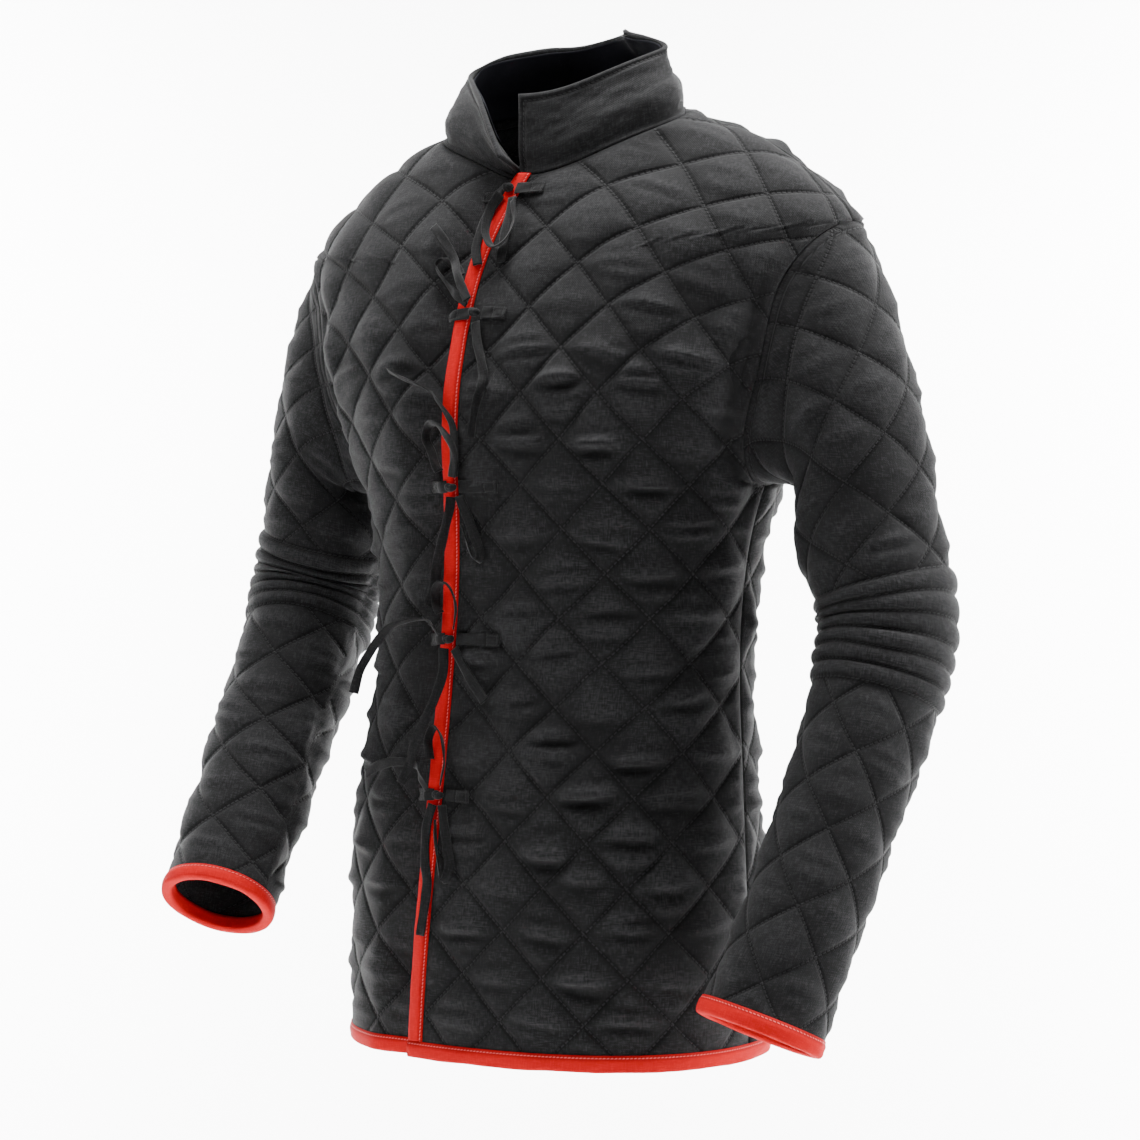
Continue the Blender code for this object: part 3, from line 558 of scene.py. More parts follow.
class FlatBody:
    """The body's cloth laid flat: across is the distance round from its middle, up from the hem."""

    def __init__(self, middle):
        self.middle = middle
        self.z = np.linspace(HEM_Z - 0.01, BACK_NECK_Z + 0.001, 380)
        self.angle = np.linspace(-0.02, np.pi + 0.02, 360)
        place = body_point(np.abs(middle - self.angle[None, :]), self.z[:, None])
        self.arc = distance_gone(place, 1)
        self.arc -= 0.02 * reach_at(middle, self.z)[:, None]
        self.across = np.linspace(0.0, 0.62, 240)
        lines = np.empty((len(self.z), len(self.across), 3))
        for row, arc in enumerate(self.arc):
            turned = np.abs(middle - np.interp(self.across, arc, self.angle))
            lines[row] = body_point(turned, self.z[row])
        self.up = distance_gone(lines)

    def read(self, table, rows, columns):
        """A table read between its points; rows and columns are fractional places in it."""
        rows = np.clip(rows, 0, table.shape[0] - 1.001)
        columns = np.clip(columns, 0, table.shape[1] - 1.001)
        i, j = rows.astype(int), columns.astype(int)
        a, b = rows - i, columns - j
        top = table[i, j] * (1 - b) + table[i, j + 1] * b
        low = table[i + 1, j] * (1 - b) + table[i + 1, j + 1] * b
        return top * (1 - a) + low * a

    def lay(self, angle, z):
        """across (with the angle's sign) and up for points on the body."""
        turned = (angle + np.pi) % (2 * np.pi) - np.pi
        row = np.interp(z, self.z, np.arange(len(self.z)))
        away = np.abs(self.middle - np.abs(turned))
        column = np.interp(away, self.angle, np.arange(len(self.angle)))
        across = self.read(self.arc, row, column)
        column = np.interp(across, self.across, np.arange(len(self.across)))
        return across * np.sign(turned), self.read(self.up, row, column)


class Quilt:
    """Two families of stitch lines over flat cloth; wide and tall are a diamond's diagonals."""

    def __init__(self, wide, tall, corner, seed):
        (self.ax, self.ay), (self.bx, self.by) = wide, tall
        self.corner, self.seed = corner, seed
        self.area = self.ax * self.by - self.ay * self.bx
        self.first_gap = self.area / np.hypot(self.by - self.ay, self.ax - self.bx)
        self.second_gap = self.area / np.hypot(self.by + self.ay, self.ax + self.bx)

    def lines(self, across, up):
        """The two line numbers at a place: a stitch line is where one is whole."""
        x, y = across - self.corner[0], up - self.corner[1]
        a = (x * self.by - y * self.bx) / self.area
        b = (y * self.ax - x * self.ay) / self.area
        sway = 0.030 * np.sin(across * 21 + self.seed) * np.sin(up * 17 + 2 * self.seed)
        sway = sway + 0.010 * np.sin(across * 83 + up * 57 + self.seed)
        return a + b + sway, a - b + 0.8 * sway


def apart(number, gap):
    return np.abs(number - np.round(number)) * gap


def wrinkle(across, up, seed):
    """Fine uneven puckers that run mostly across the cloth, from -1 to 1."""
    rng = np.random.default_rng(seed)
    total = np.zeros_like(across)
    for _ in range(16):
        tall = rng.uniform(0.009, 0.026)
        wide = tall * rng.uniform(3.0, 7.0)
        tilt = rng.normal(0.0, 0.22)
        phase = rng.uniform(0, 2 * np.pi, 3)
        a = across + tilt * up
        b = up - tilt * across + 0.004 * np.sin(across * 2 * np.pi / wide * 0.6 + phase[2])
        total += np.sin(2 * np.pi * b / tall + phase[0]) * np.sin(2 * np.pi * a / wide + phase[1])
    return total / 4.0


def broad(across, up, seed, size):
    """Slow unevenness, from about -1 to 1."""
    rng = np.random.default_rng(seed)
    total = np.zeros_like(across)
    for _ in range(7):
        way = rng.uniform(0, 2 * np.pi)
        length = size * rng.uniform(0.7, 1.6)
        phase = rng.uniform(0, 2 * np.pi)
        total += np.sin(2 * np.pi * (across * np.cos(way) + up * np.sin(way)) / length + phase)
    return total / 3.0


def chance(i, j, seed):
    """A number from 0 to 1 for each diamond."""
    value = np.sin(i * 12.9898 + j * 78.233 + seed * 3.17) * 43758.5453
    return value - np.floor(value)


def buckles(first, second, seed):
    """Folds that run level across each diamond, where the padding gives way, one or two each."""
    i, j = np.floor(first), np.floor(second)
    u, v = first - i - 0.5, second - j - 0.5
    level, beside = (u - v) / 2, u + v
    total = np.zeros_like(first)
    for k in range(3):
        there = chance(i, j, seed + 10 * k)
        amount = np.clip(1.4 * chance(i, j, seed + 10 * k + 1) - (-0.30, 0.05, 0.20)[k], 0, 1)
        place = (there - 0.5) * 0.36 + (0.02, -0.16, 0.17)[k]
        tilt = (chance(i, j, seed + 10 * k + 2) - 0.5) * 0.14
        bow = (chance(i, j, seed + 10 * k + 3) - 0.5) * 0.10
        centre = (chance(i, j, seed + 10 * k + 4) - 0.5) * 0.5
        off = level - place - tilt * beside - bow * beside**2
        slim = 0.050 + 0.026 * chance(i, j, seed + 10 * k + 5)
        fold = np.exp(-((off / slim) ** 2)) - 0.85 * np.exp(-(((off + 1.6 * slim) / slim) ** 2))
        along = np.exp(-(((beside - centre) / 0.72) ** 4))
        total += amount * fold * along
    return total


def relief(quilt, across, up, flatten, seed, calm=1.0, lines=None):
    """How far the cloth stands off its middle surface, and its two line numbers."""
    cloth = bpy.context.scene.gambeson_cloth
    first, second = lines or quilt.lines(across, up)
    a, b = apart(first, quilt.first_gap), apart(second, quilt.second_gap)
    near = np.minimum(a, b)
    swell = (1 - np.exp(-a / 0.0085)) * (1 - np.exp(-b / 0.0085))
    cell = chance(np.floor(first), np.floor(second), seed)
    height = cloth.loft * (0.80 + 0.45 * cell) * swell
    height = height + cloth.buckle * buckles(first, second, seed) * swell * calm
    pull = np.exp(-((near / 0.012) ** 2))
    pucker = wrinkle(across, up, seed) * (0.30 + 0.70 * pull) * np.clip(near / 0.0022, 0, 1)
    height = height + cloth.pucker * pucker * (0.15 + 0.85 * calm)
    height = height + 0.0012 * broad(across, up, seed + 5, 0.11)
    height = height - 0.55 * cloth.loft
    return height * flatten, first, second


# ---------------------------------------------------------------- materials

LINE_GAP = 0.0495  # between one stitch line of the quilting and the next
ROW_GAP = 0.0155  # the distance that stands for one line number beside a single row


def group(name, inputs, outputs):
    """An empty shader node group with named sockets."""
    tree = bpy.data.node_groups.new(name, "ShaderNodeTree")
    for label, kind, default in inputs:
        socket = tree.interface.new_socket(label, in_out="INPUT", socket_type=kind)
        socket.default_value = default
    for label, kind in outputs:
        tree.interface.new_socket(label, in_out="OUTPUT", socket_type=kind)
    return tree, tree.nodes.new("NodeGroupInput"), tree.nodes.new("NodeGroupOutput")


def fill(tree, node, inputs):
    """Give a node's inputs their values, or link them."""
    for key, value in inputs.items():
        if isinstance(value, (int, float, tuple)):
            node.inputs[key].default_value = value
        else:
            tree.links.new(value, node.inputs[key])


def new_node(tree, kind, inputs=None, **settings):
    node = tree.nodes.new("ShaderNode" + kind)
    for key, value in settings.items():
        setattr(node, key, value)
    fill(tree, node, inputs or {})
    return node


def math(tree, operation, *values, clamp=False):
    inputs = dict(enumerate(values))
    return new_node(tree, "Math", inputs, operation=operation, use_clamp=clamp).outputs[0]


def blend_colour(tree, factor, first, second):
    return new_node(tree, "Mix", {0: factor, 6: first, 7: second}, data_type="RGBA").outputs[2]


def read_attribute(tree, name):
    return new_node(tree, "Attribute", attribute_name=name).outputs["Fac"]


def weave_group():
    """Plain weave on flat-cloth coordinates: thread height, slubs and a colour that varies."""
    tree, given, made = group(
        "Gambeson Weave",
        [
            ("Place", "NodeSocketVector", (0.0, 0.0, 0.0)),
            ("Colour", "NodeSocketColor", (0.02, 0.02, 0.02, 1.0)),
            ("Lint", "NodeSocketColor", (0.08, 0.08, 0.08, 1.0)),
            ("Threads", "NodeSocketFloat", 900.0),
            ("Slub", "NodeSocketFloat", 0.5),
            ("Mottle", "NodeSocketFloat", 0.5),
            ("Wear And Painted Light", "NodeSocketFloat", 0.0),
        ],
        [
            ("Colour", "NodeSocketColor"),
            ("Height", "NodeSocketFloat"),
            ("Roughness", "NodeSocketFloat"),
        ],
    )
    place = given.outputs["Place"]
    split = new_node(tree, "SeparateXYZ", {0: place})
    turns = math(tree, "MULTIPLY", given.outputs["Threads"], np.pi)
    warp = math(tree, "SINE", math(tree, "MULTIPLY", split.outputs[0], turns))
    weft = math(tree, "SINE", math(tree, "MULTIPLY", split.outputs[1], turns))
    threads = math(tree, "MULTIPLY", warp, weft)

    def streaks(scale, detail):
        stretched = new_node(tree, "VectorMath", {0: place, 1: scale}, operation="MULTIPLY")
        inputs = {"Vector": stretched.outputs[0], "Scale": 1.0, "Detail": detail, "Roughness": 0.6}
        return new_node(tree, "TexNoise", inputs).outputs["Fac"]

    up_slub = streaks((950.0, 150.0, 60.0), 3.0)
    across_slub = streaks((150.0, 950.0, 60.0), 3.0)
    slub = math(tree, "ADD", up_slub, math(tree, "SUBTRACT", across_slub, 1.0))
    slub = math(tree, "MULTIPLY", slub, given.outputs["Slub"])
    patches = streaks((22.0, 22.0, 22.0), 5.0)
    fine = streaks((240.0, 240.0, 240.0), 3.0)
    lumps = math(tree, "MULTIPLY", slub, 2.2)
    height = math(tree, "ADD", math(tree, "MULTIPLY", threads, 0.30), lumps)
    height = math(tree, "ADD", height, math(tree, "MULTIPLY", fine, 0.5))
    grain = math(tree, "MULTIPLY_ADD", slub, 6.5, math(tree, "MULTIPLY", threads, 0.12))
    cloudy = math(tree, "MULTIPLY", math(tree, "SUBTRACT", patches, 0.5), given.outputs["Mottle"])
    # This input lightens or darkens the colour: partly wear, partly painted highlight and shade.
    amount = math(tree, "ADD", math(tree, "ADD", grain, cloudy), given.outputs["Wear And Painted Light"])
    amount = math(tree, "ADD", amount, 0.14, clamp=True)
    mixed = blend_colour(tree, amount, given.outputs["Colour"], given.outputs["Lint"])
    rough = math(tree, "MULTIPLY_ADD", patches, 0.12, 0.80)
    fill(tree, made, {"Colour": mixed, "Height": height, "Roughness": rough})
    return tree


def stitching_group():
    """One line of stitches: the thread's dashes and the groove they pull, from a line number."""
    tree, given, made = group(
        "Gambeson Stitching",
        [
            ("Line", "NodeSocketFloat", 0.5),
            ("Gap", "NodeSocketFloat", LINE_GAP),
            ("Along", "NodeSocketFloat", 0.0),
            ("Pitch", "NodeSocketFloat", 0.0042),
        ],
        [("Thread", "NodeSocketFloat"), ("Groove", "NodeSocketFloat")],
    )
    half = math(tree, "FRACT", math(tree, "ADD", given.outputs["Line"], 0.5))
    half = math(tree, "SUBTRACT", half, 0.5)
    off = math(tree, "MULTIPLY", math(tree, "ABSOLUTE", half), given.outputs["Gap"])
    beat = math(tree, "FRACT", math(tree, "DIVIDE", given.outputs["Along"], given.outputs["Pitch"]))
    middle = math(tree, "ABSOLUTE", math(tree, "SUBTRACT", beat, 0.5))

    def falls(value, near, far):
        inputs = {"Value": value, "From Min": near, "From Max": far, "To Min": 1.0, "To Max": 0.0}
        return new_node(tree, "MapRange", inputs, interpolation_type="SMOOTHSTEP").outputs[0]

    dash = math(tree, "MULTIPLY", falls(off, 0.0003, 0.00065), falls(middle, 0.28, 0.36))
    hole = math(tree, "MULTIPLY_ADD", falls(middle, 0.28, 0.40), -0.25, 1.0)
    # The groove mask gives both the bump's dip and the painted shade along the stitch line.
    groove = math(tree, "MULTIPLY", falls(off, 0.0002, 0.0034), hole)
    fill(tree, made, {"Thread": dash, "Groove": groove})
    return tree


def cloth_material(name, colour, lint, threads, slub, mottle, bump, sheen, stitch=None):
    """A woven cloth on the piece's own UV map; stitch is its thread's colour, how dark the
    grooves are painted as shade and the length of a stitch."""
    material = bpy.data.materials.new(name)
    material.use_nodes = True
    tree = material.node_tree
    shader = tree.nodes["Principled BSDF"]
    place = new_node(tree, "UVMap", uv_map="flat").outputs[0]
    weave = new_node(
        tree,
        "Group",
        {
            "Place": place,
            "Colour": (*colour, 1.0),
            "Lint": (*lint, 1.0),
            "Threads": threads,
            "Slub": slub,
            "Mottle": mottle,
        },
        node_tree=bpy.data.node_groups.get("Gambeson Weave") or weave_group(),
    )
    base, height = weave.outputs["Colour"], weave.outputs["Height"]
    if stitch:
        thread_colour, groove_shade, pitch = stitch
        split = new_node(tree, "SeparateXYZ", {0: place})
        first, second, third = (read_attribute(tree, "line_" + k) for k in "abc")
        rows = (
            (first, LINE_GAP, math(tree, "MULTIPLY", second, LINE_GAP)),
            (second, LINE_GAP, math(tree, "MULTIPLY", first, LINE_GAP)),
            (third, ROW_GAP, math(tree, "ADD", split.outputs[0], split.outputs[1])),
        )
        thread = groove = None
        for line, gap, along in rows:
            row = new_node(
                tree,
                "Group",
                {"Line": line, "Gap": gap, "Along": along, "Pitch": pitch},
                node_tree=bpy.data.node_groups.get("Gambeson Stitching") or stitching_group(),
            )
            made = row.outputs["Thread"], row.outputs["Groove"]
            thread = made[0] if thread is None else math(tree, "MAXIMUM", thread, made[0])
            groove = made[1] if groove is None else math(tree, "MAXIMUM", groove, made[1])
        # Painted shade: the cloth's colour is darkened along each stitch groove, where shade falls.
        dark = tuple(groove_shade * c for c in colour)
        base = blend_colour(tree, math(tree, "MULTIPLY", groove, 0.85), base, (*dark, 1.0))
        base = blend_colour(tree, thread, base, (*thread_colour, 1.0))
        height = math(tree, "ADD", height, math(tree, "MULTIPLY", thread, 3.0))
        height = math(tree, "SUBTRACT", height, math(tree, "MULTIPLY", groove, 4.0))
        # Raised cloth painted lighter and hollows darker from the swell: partly wear, partly
        # painted highlight and shade.
        wear_and_painted_light = math(tree, "MULTIPLY", read_attribute(tree, "swell"), 0.30)
        fill(tree, weave, {"Wear And Painted Light": wear_and_painted_light})
    bumped = new_node(tree, "Bump", {"Strength": bump, "Distance": 0.0004, "Height": height})
    inputs = {
        "Base Color": base,
        "Roughness": weave.outputs["Roughness"],
        "Normal": bumped.outputs[0],
        "Sheen Weight": sheen,
        "Sheen Roughness": 0.5,
        "Specular IOR Level": 0.15,
    }
    fill(tree, shader, inputs)
    return material


def material(name):
    """One of the jacket's finishes, made when it is first asked for."""
    found = bpy.data.materials.get("gambeson " + name)
    if found:
        return found
    trim = bpy.context.scene.gambeson_trim
    cloth = bpy.context.scene.gambeson_cloth
    shell = tuple(cloth.colour)
    lint = tuple(3.6 * c for c in shell)
    red = tuple(trim.binding_colour)
    bright = (min(red[0] * 1.25, 1.0), red[1] * 2 + 0.003, red[2] * 2 + 0.004)
    tape = tuple(trim.tape_colour)
    webbing = (tape, tuple(3.0 * c for c in tape), 1300.0, 0.4, 0.3, 0.5, 0.08)
    # Stitching: thread colour, how dark the painted shade in the grooves is, stitch length.
    sewn = (tuple(2.4 * c for c in shell), 0.35, 0.0042)
    red_sewn = ((0.75, 0.10, 0.10), 0.55, 0.0030)
    tab_sewn = ((0.018, 0.018, 0.019), 0.4, 0.0022)
    finishes = {
        "shell": (shell, lint, 1100.0, 0.40, 0.5, 0.75, 0.05, sewn),
        "collar": (shell, lint, 1100.0, 0.40, 0.4, 0.75, 0.05, sewn),
        "lining": ((0.0035, 0.0036, 0.0065), (0.006, 0.006, 0.010), 1200.0, 0.3, 0.3, 0.3, 0.0),
        "binding": (red, bright, 1300.0, 0.35, 0.5, 0.45, 0.0, red_sewn),
        "tape": webbing,
        "tab": (*webbing, tab_sewn),
    }
    return cloth_material("gambeson " + name, *finishes[name])


# ---------------------------------------------------------------- making pieces


def add_object(name, data):
    made = bpy.data.objects.new(name, data)
    bpy.context.scene.collection.objects.link(made)
    return made


def new_piece(name, bm, finish):
    """The finished object of one piece, in place of the frame's piece of that name."""
    mesh = bpy.data.meshes.new(name + "_cloth")
    bm.to_mesh(mesh)
    bm.free()
    mesh.shade_smooth()
    mesh.materials.append(finish)
    piece = add_object(name + "_cloth", mesh)
    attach(piece, "root")
    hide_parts(name)
    return piece


def lay_grid(bm, points, flat, marks, flip=False):
    """A grid of faces through a table of points, with its flat-cloth place as UV."""
    rows, columns = points.shape[:2]
    uv = bm.loops.layers.uv.get("flat") or bm.loops.layers.uv.new("flat")
    layers = [bm.verts.layers.float.get(key) or bm.verts.layers.float.new(key) for key in marks]
    made = bmesh.ops.create_grid(bm, x_segments=columns - 1, y_segments=rows - 1, size=1.0)
    verts = made["verts"]
    values = [marks[key].reshape(-1) for key in marks]
    across, up = flat[0].reshape(-1), flat[1].reshape(-1)
    places = points.reshape(-1, 3)
    number = {}
    for k, vert in enumerate(verts):
        vert.co = places[k]
        number[vert] = k
        for layer, value in zip(layers, values):
            vert[layer] = value[k]
    faces = {face for vert in verts for face in vert.link_faces}
    for face in faces:
        for loop in face.loops:
            k = number[loop.vert]
            loop[uv].uv = (across[k], up[k])
    if flip:
        bmesh.ops.reverse_faces(bm, faces=list(faces))


def wall_piece(name, outer, inner, flat, marks, finish, wrap=None):
    """A closed wall of two skins and the edges between them; wrap is the axis along which the
    skins turn into one another where the piece is a tube."""
    bm = bmesh.new()
    if wrap is None:
        lay_grid(bm, outer, flat, marks)
        lay_grid(bm, inner, flat, marks, flip=True)
        bmesh.ops.bridge_loops(bm, edges=[edge for edge in bm.edges if edge.is_boundary])
    else:
        pairs = [(outer, inner), *((table, table) for table in (*flat, *marks.values()))]
        skin, *tables = (
            np.concatenate([face, np.flip(back, wrap), np.take(face, [0], wrap)], axis=wrap)
            for face, back in pairs
        )
        lay_grid(bm, skin, tables[:2], dict(zip(marks, tables[2:])))
        bmesh.ops.remove_doubles(bm, verts=bm.verts, dist=1e-6)
    bmesh.ops.recalc_face_normals(bm, faces=bm.faces)
    return new_piece(name, bm, finish)


def padded_piece(
    name, points, normals, flat, height, marks, finish, thick=WALL, share=0.35, wrap=None
):
    """Cloth with an outer skin in relief and an inner one with a share of that relief."""
    outer = points + normals * (thick / 2 + height)[..., None]
    inner = points - normals * (thick / 2 + share * height)[..., None]
    return wall_piece(name, outer, inner, flat, marks, finish, wrap)


def stitch_lines(first, second, third, height):
    """The attributes from which the stitched finishes are shaded."""
    # swell is the cloth's height; the shell paints raised parts lighter and hollows darker from it,
    # partly wear and partly painted light.
    swell = np.clip(height / 0.003, -1, 1)
    return {"line_a": first, "line_b": second, "line_c": third, "swell": swell}


def row_line(distance):
    """A single row's line number: 0 on the row, and never whole again beside it."""
    return np.clip(distance / ROW_GAP, -0.45, 0.45)


def row_marks(distance):
    """The attributes of plain cloth with one row of stitches, from the distance to the row."""
    plain = np.full_like(distance, 0.5)
    return stitch_lines(plain, plain, row_line(distance), 0 * distance)


def edge_fade(distance, width):
    """0 at an edge, 1 from that width inwards."""
    return smooth(distance / width)


# ---------------------------------------------------------------- body


def dense_steps():
    parts = ((0.0, 1.0, 172), (1.0, 2.0, 74), (2.0, 3.0, 42))
    return np.concatenate([np.linspace(a, b, n, endpoint=False) for a, b, n in parts] + [[3.0]])


def panel(side):
    """Angles and heights over one panel: over (left) front, under (right) front or back."""
    steps = dense_steps()
    if side == "back":
        first = side_line(steps, np.pi / 2, -ARMHOLE_BACK)
        last = 2 * np.pi - first
        share = np.linspace(0.0, 1.0, 170)
    else:
        edge = over_edge if side == "left" else under_edge
        first = edge(row_height(steps, 0.0))
        turn = 1 if side == "left" else -1
        last = side_line(steps, turn * np.pi / 2, turn * ARMHOLE_FRONT)
        share = np.linspace(0.0, 1.0, 104)
    angle = first[:, None] + (last - first)[:, None] * share
    z = row_height(steps[:, None], angle)
    return steps, angle, z


def creases(across, up, side):
    """Soft folds where the jacket hangs and pulls: below the chest, at the waist, at the ties."""
    rng = np.random.default_rng({"left": 11, "right": 12, "back": 13}[side])
    total = np.zeros_like(across)
    for _ in range(9):
        place_x = rng.uniform(-0.02, 0.25)
        place_y = rng.uniform(0.22, 0.50)
        long, slim = rng.uniform(0.05, 0.10), rng.uniform(0.008, 0.014)
        tilt = rng.uniform(-0.35, 0.35)
        a = (np.abs(across) - place_x) * np.cos(tilt) + (up - place_y) * np.sin(tilt)
        b = -(np.abs(across) - place_x) * np.sin(tilt) + (up - place_y) * np.cos(tilt)
        total += rng.uniform(0.5, 1.0) * np.exp(-((a / long) ** 2) - ((b / slim) ** 2))
    return total


QUILTS = {
    "left": Quilt((0.070, 0.0), (0.0, 0.0715), (0.0300, 0.4025), 1.0),
    "right": Quilt((0.070, 0.0), (0.0, 0.0715), (-0.0675, 0.4996), 2.0),
    "back": Quilt((0.070, 0.0), (0.0, 0.0715), (0.0, 0.4000), 3.0),
}


SHOULDER_TURN = np.radians(23.0)


def skewed(across, up, side, share):
    """The quilting turns over the shoulder, because the cloth hangs from the neck."""
    turn = share * SHOULDER_TURN * smooth((up - 0.50) / 0.24) * smooth(np.abs(across) / 0.16)
    if side == "back":
        return across, up
    sign = np.sign(across)
    a, b = np.abs(across) - 0.10, up - 0.62
    moved = a * (np.cos(turn) - 1) - b * np.sin(turn)
    lifted = a * np.sin(turn) + b * (np.cos(turn) - 1)
    return across + sign * moved, up + lifted


def body_flat(angle, z, side):
    """A panel's place on the flat cloth, measured from the middle of the front or of the back."""
    return (FLAT_BACK if side == "back" else FLAT_FRONT).lay(angle, z)


def armhole_fold(steps, left, up):
    """The crease that hangs down the front of the armhole, and the ridge beside it."""
    there = smooth((steps - 0.85) / 0.35) * smooth((2.0 - steps) / 0.45)
    wander = 0.003 * np.sin(up * 47.0) + 0.0015 * np.sin(up * 121.0)
    valley = -0.0050 * np.exp(-(((left - 0.013 - wander) / 0.009) ** 2))
    ridge = 0.0032 * np.exp(-(((left - 0.034 - wander) / 0.012) ** 2))
    return there * (valley + ridge)


def make_panel(name, side):
    """One quilted panel, creased at its armhole, flat under its bindings and at its seams."""
    steps, angle, z = panel(side)
    normal = body_normal(angle, z)
    point = body_point(angle, z)
    if side == "right":
        point = point - lap_inset(angle, z)[..., None] * normal
    across, up = body_flat(angle, z, side)
    gone, risen = distance_gone(point, 1), distance_gone(point)
    left, short = gone[:, -1:] - gone, risen[-1:] - risen
    if side == "back":
        flatten = edge_fade(gone + 0.001, 0.016)
        seam = np.minimum(gone, left)
    else:
        flatten = edge_fade(gone - EDGE_BINDING_WIDTH + 0.002, 0.014)
        seam = left
    flatten = flatten * edge_fade(left + 0.001, 0.016)
    flatten = flatten * edge_fade(risen - HEM_BINDING_WIDTH + 0.002, 0.014)
    flatten = flatten * edge_fade(short + 0.001, 0.014)
    quilt = QUILTS[side]
    shares = 0.5, 1.0  # of the turn over the shoulder, for each family of lines
    lines = [quilt.lines(*skewed(across, up, side, f))[k] for k, f in enumerate(shares)]
    calm = 1.0 - 0.75 * smooth((up - 0.56) / 0.08) - 0.5 * np.exp(-((across / 0.05) ** 2))
    calm = np.clip(calm, 0.12, 1.0) * (1 - 0.6 * smooth((np.abs(across) - 0.15) / 0.06))
    calm = {"left": calm, "right": 0.45 * calm, "back": 0.40}[side]
    height, first, second = relief(quilt, across, up, flatten, 3 + len(side), calm, lines)
    if side != "back":
        height = height + armhole_fold(steps[:, None], left, up) * flatten
    height = height + 0.0012 * creases(across, up, side) * flatten
    height = height - 0.0016 * np.exp(-((np.minimum(seam, short) / 0.004) ** 2))
    marks = stitch_lines(first, second, np.full_like(first, 0.5), height)
    piece = padded_piece(name, point, normal, (across, up), height, marks, material("shell"))


class GAMBESON_OT_body(bpy.types.Operator):
    """Build the two fronts and the back in quilted cloth"""

    bl_idname = "gambeson.body"
    bl_label = "Quilted Body"

    def execute(self, context):
        make_panel("front_left", "left")
        make_panel("front_right", "right")
        make_panel("back", "back")
        return {"FINISHED"}


# ---------------------------------------------------------------- sleeves


def elbow_tubes(channel, across, seed):
    """Padded channels side by side across the elbow, each a little different."""
    whole = np.clip(np.floor(channel), 0, ELBOW_TUBES - 1)
    size = 0.85 + 0.3 * chance(whole, whole * 0 + 3, seed)
    tube = np.abs(np.sin(np.pi * channel)) ** 0.55
    slack = 0.0006 * np.sin(across * 55 + 2.4 * whole + seed) * tube
    return ELBOW_LOFT * size * tube + slack


def make_sleeve(name, table, seed):
    """One quilted sleeve, its seam under the arm, with channels across the elbow."""
    side = np.sign(table[0].x)
    cuff = SLEEVE_END - CUFF_BINDING_WIDTH / CUFF_STEP
    cap = np.linspace(0.0, 0.5, 12, endpoint=False)
    arm, end = np.linspace(0.5, cuff, 210), np.linspace(cuff, SLEEVE_END, 6)[1:]
    steps = np.concatenate([cap, arm, end])
    count = SLEEVE_COLUMNS
    rings, normals = sleeve_surface(table, steps, count)
    gone = distance_gone(sleeve_centre(table, steps))
    share = np.linspace(0.0, 1.0, count + 1)
    under = (np.arange(count + 1) + count // 2) % count
    rings, normals = rings[:, under], normals[:, under]
    arc, column = distance_gone(rings, 1), distance_gone(rings)
    girth = arc[:, -1]
    front = count * 3 // 4
    across = (arc - arc[:, front : front + 1]) * side
    top, bottom, above, below = SLEEVE_QUILTS[side]
    elbow = np.argmin(np.abs(gone - ELBOW_AT[side]))
    up = column[elbow] - column
    depth = np.broadcast_to(gone[:, None], rings.shape[:2])
    flatten = edge_fade(gone[-1] - depth - CUFF_BINDING_WIDTH + 0.002, 0.014)
    flatten = flatten * edge_fade(depth + 0.001, 0.014)
    seam = np.minimum(share, 1.0 - share)[None, :] * girth[:, None]
    flatten = flatten * smooth(seam / 0.010)
    high, first, second = relief(above, across, up, flatten, seed, 0.25)
    low, third, fourth = relief(below, across, up, flatten, seed + 1, 0.25)
    sway = 0.10 * np.sin(across * 31 + seed) + 0.06 * np.sin(across * 67)
    channel = (depth - top) / (bottom - top) * ELBOW_TUBES
    channel = channel + sway * np.sin(np.pi * np.clip(channel / ELBOW_TUBES, 0, 1))
    inside = (channel > 0) & (channel < ELBOW_TUBES)
    upper = channel < ELBOW_TUBES / 2
    height = np.where(upper, high, low)
    away = np.where(upper, -channel, channel - ELBOW_TUBES) * (bottom - top) / ELBOW_TUBES
    loft = bpy.context.scene.gambeson_cloth.loft
    height = (height + 0.55 * loft * flatten) * (1 - np.exp(-np.clip(away, 0, 1) / 0.006))
    tubes = elbow_tubes(channel, across, seed) * flatten
    height = np.where(inside, tubes, height) - 0.55 * loft * flatten
    height = height - 0.0014 * np.exp(-((seam / 0.003) ** 2)) * flatten
    height = height - 0.0016 * np.exp(-((depth / 0.004) ** 2))
    first = np.where(inside, 0.5, np.where(upper, first, third))
    second = np.where(inside, 0.5, np.where(upper, second, fourth))
    row = row_line(0.0070 - depth)
    row = np.where(depth > 0.05, np.clip(channel, -0.45, ELBOW_TUBES + 0.45), row)
    marks = stitch_lines(first, second, row, height)
    shell = material("shell")
    piece = padded_piece(name, rings, normals, (across, up), height, marks, shell, wrap=0)


ELBOW_TUBES = 6
ELBOW_LOFT = 0.0046
ELBOW_AT = {1.0: 0.240, -1.0: 0.2025}
# Where the channels begin and end along the sleeve, and the quilting above and below them
SLEEVE_QUILTS = {
    1.0: (
        0.195,
        0.288,
        Quilt((0.071, -0.024), (-0.009, 0.0655), (-0.051, 0.160), 4.0),
        Quilt((0.060, 0.014), (-0.004, 0.0628), (-0.0198, -0.0995), 4.0),
    ),
    -1.0: (
        0.158,
        0.244,
        Quilt((0.072, 0.0), (0.0, 0.0655), (-0.0113, 0.1105), 5.0),
        Quilt((0.0785, 0.004), (0.0104, 0.0687), (-0.0301, -0.1435), 5.0),
    ),
}


class GAMBESON_OT_sleeves(bpy.types.Operator):
    """Build both quilted sleeves, with their elbow folds"""

    bl_idname = "gambeson.sleeves"
    bl_label = "Quilted Sleeves"

    def execute(self, context):
        make_sleeve("sleeve_left", LEFT_SLEEVE, 21)
        make_sleeve("sleeve_right", RIGHT_SLEEVE, 22)
        return {"FINISHED"}


# ---------------------------------------------------------------- collar


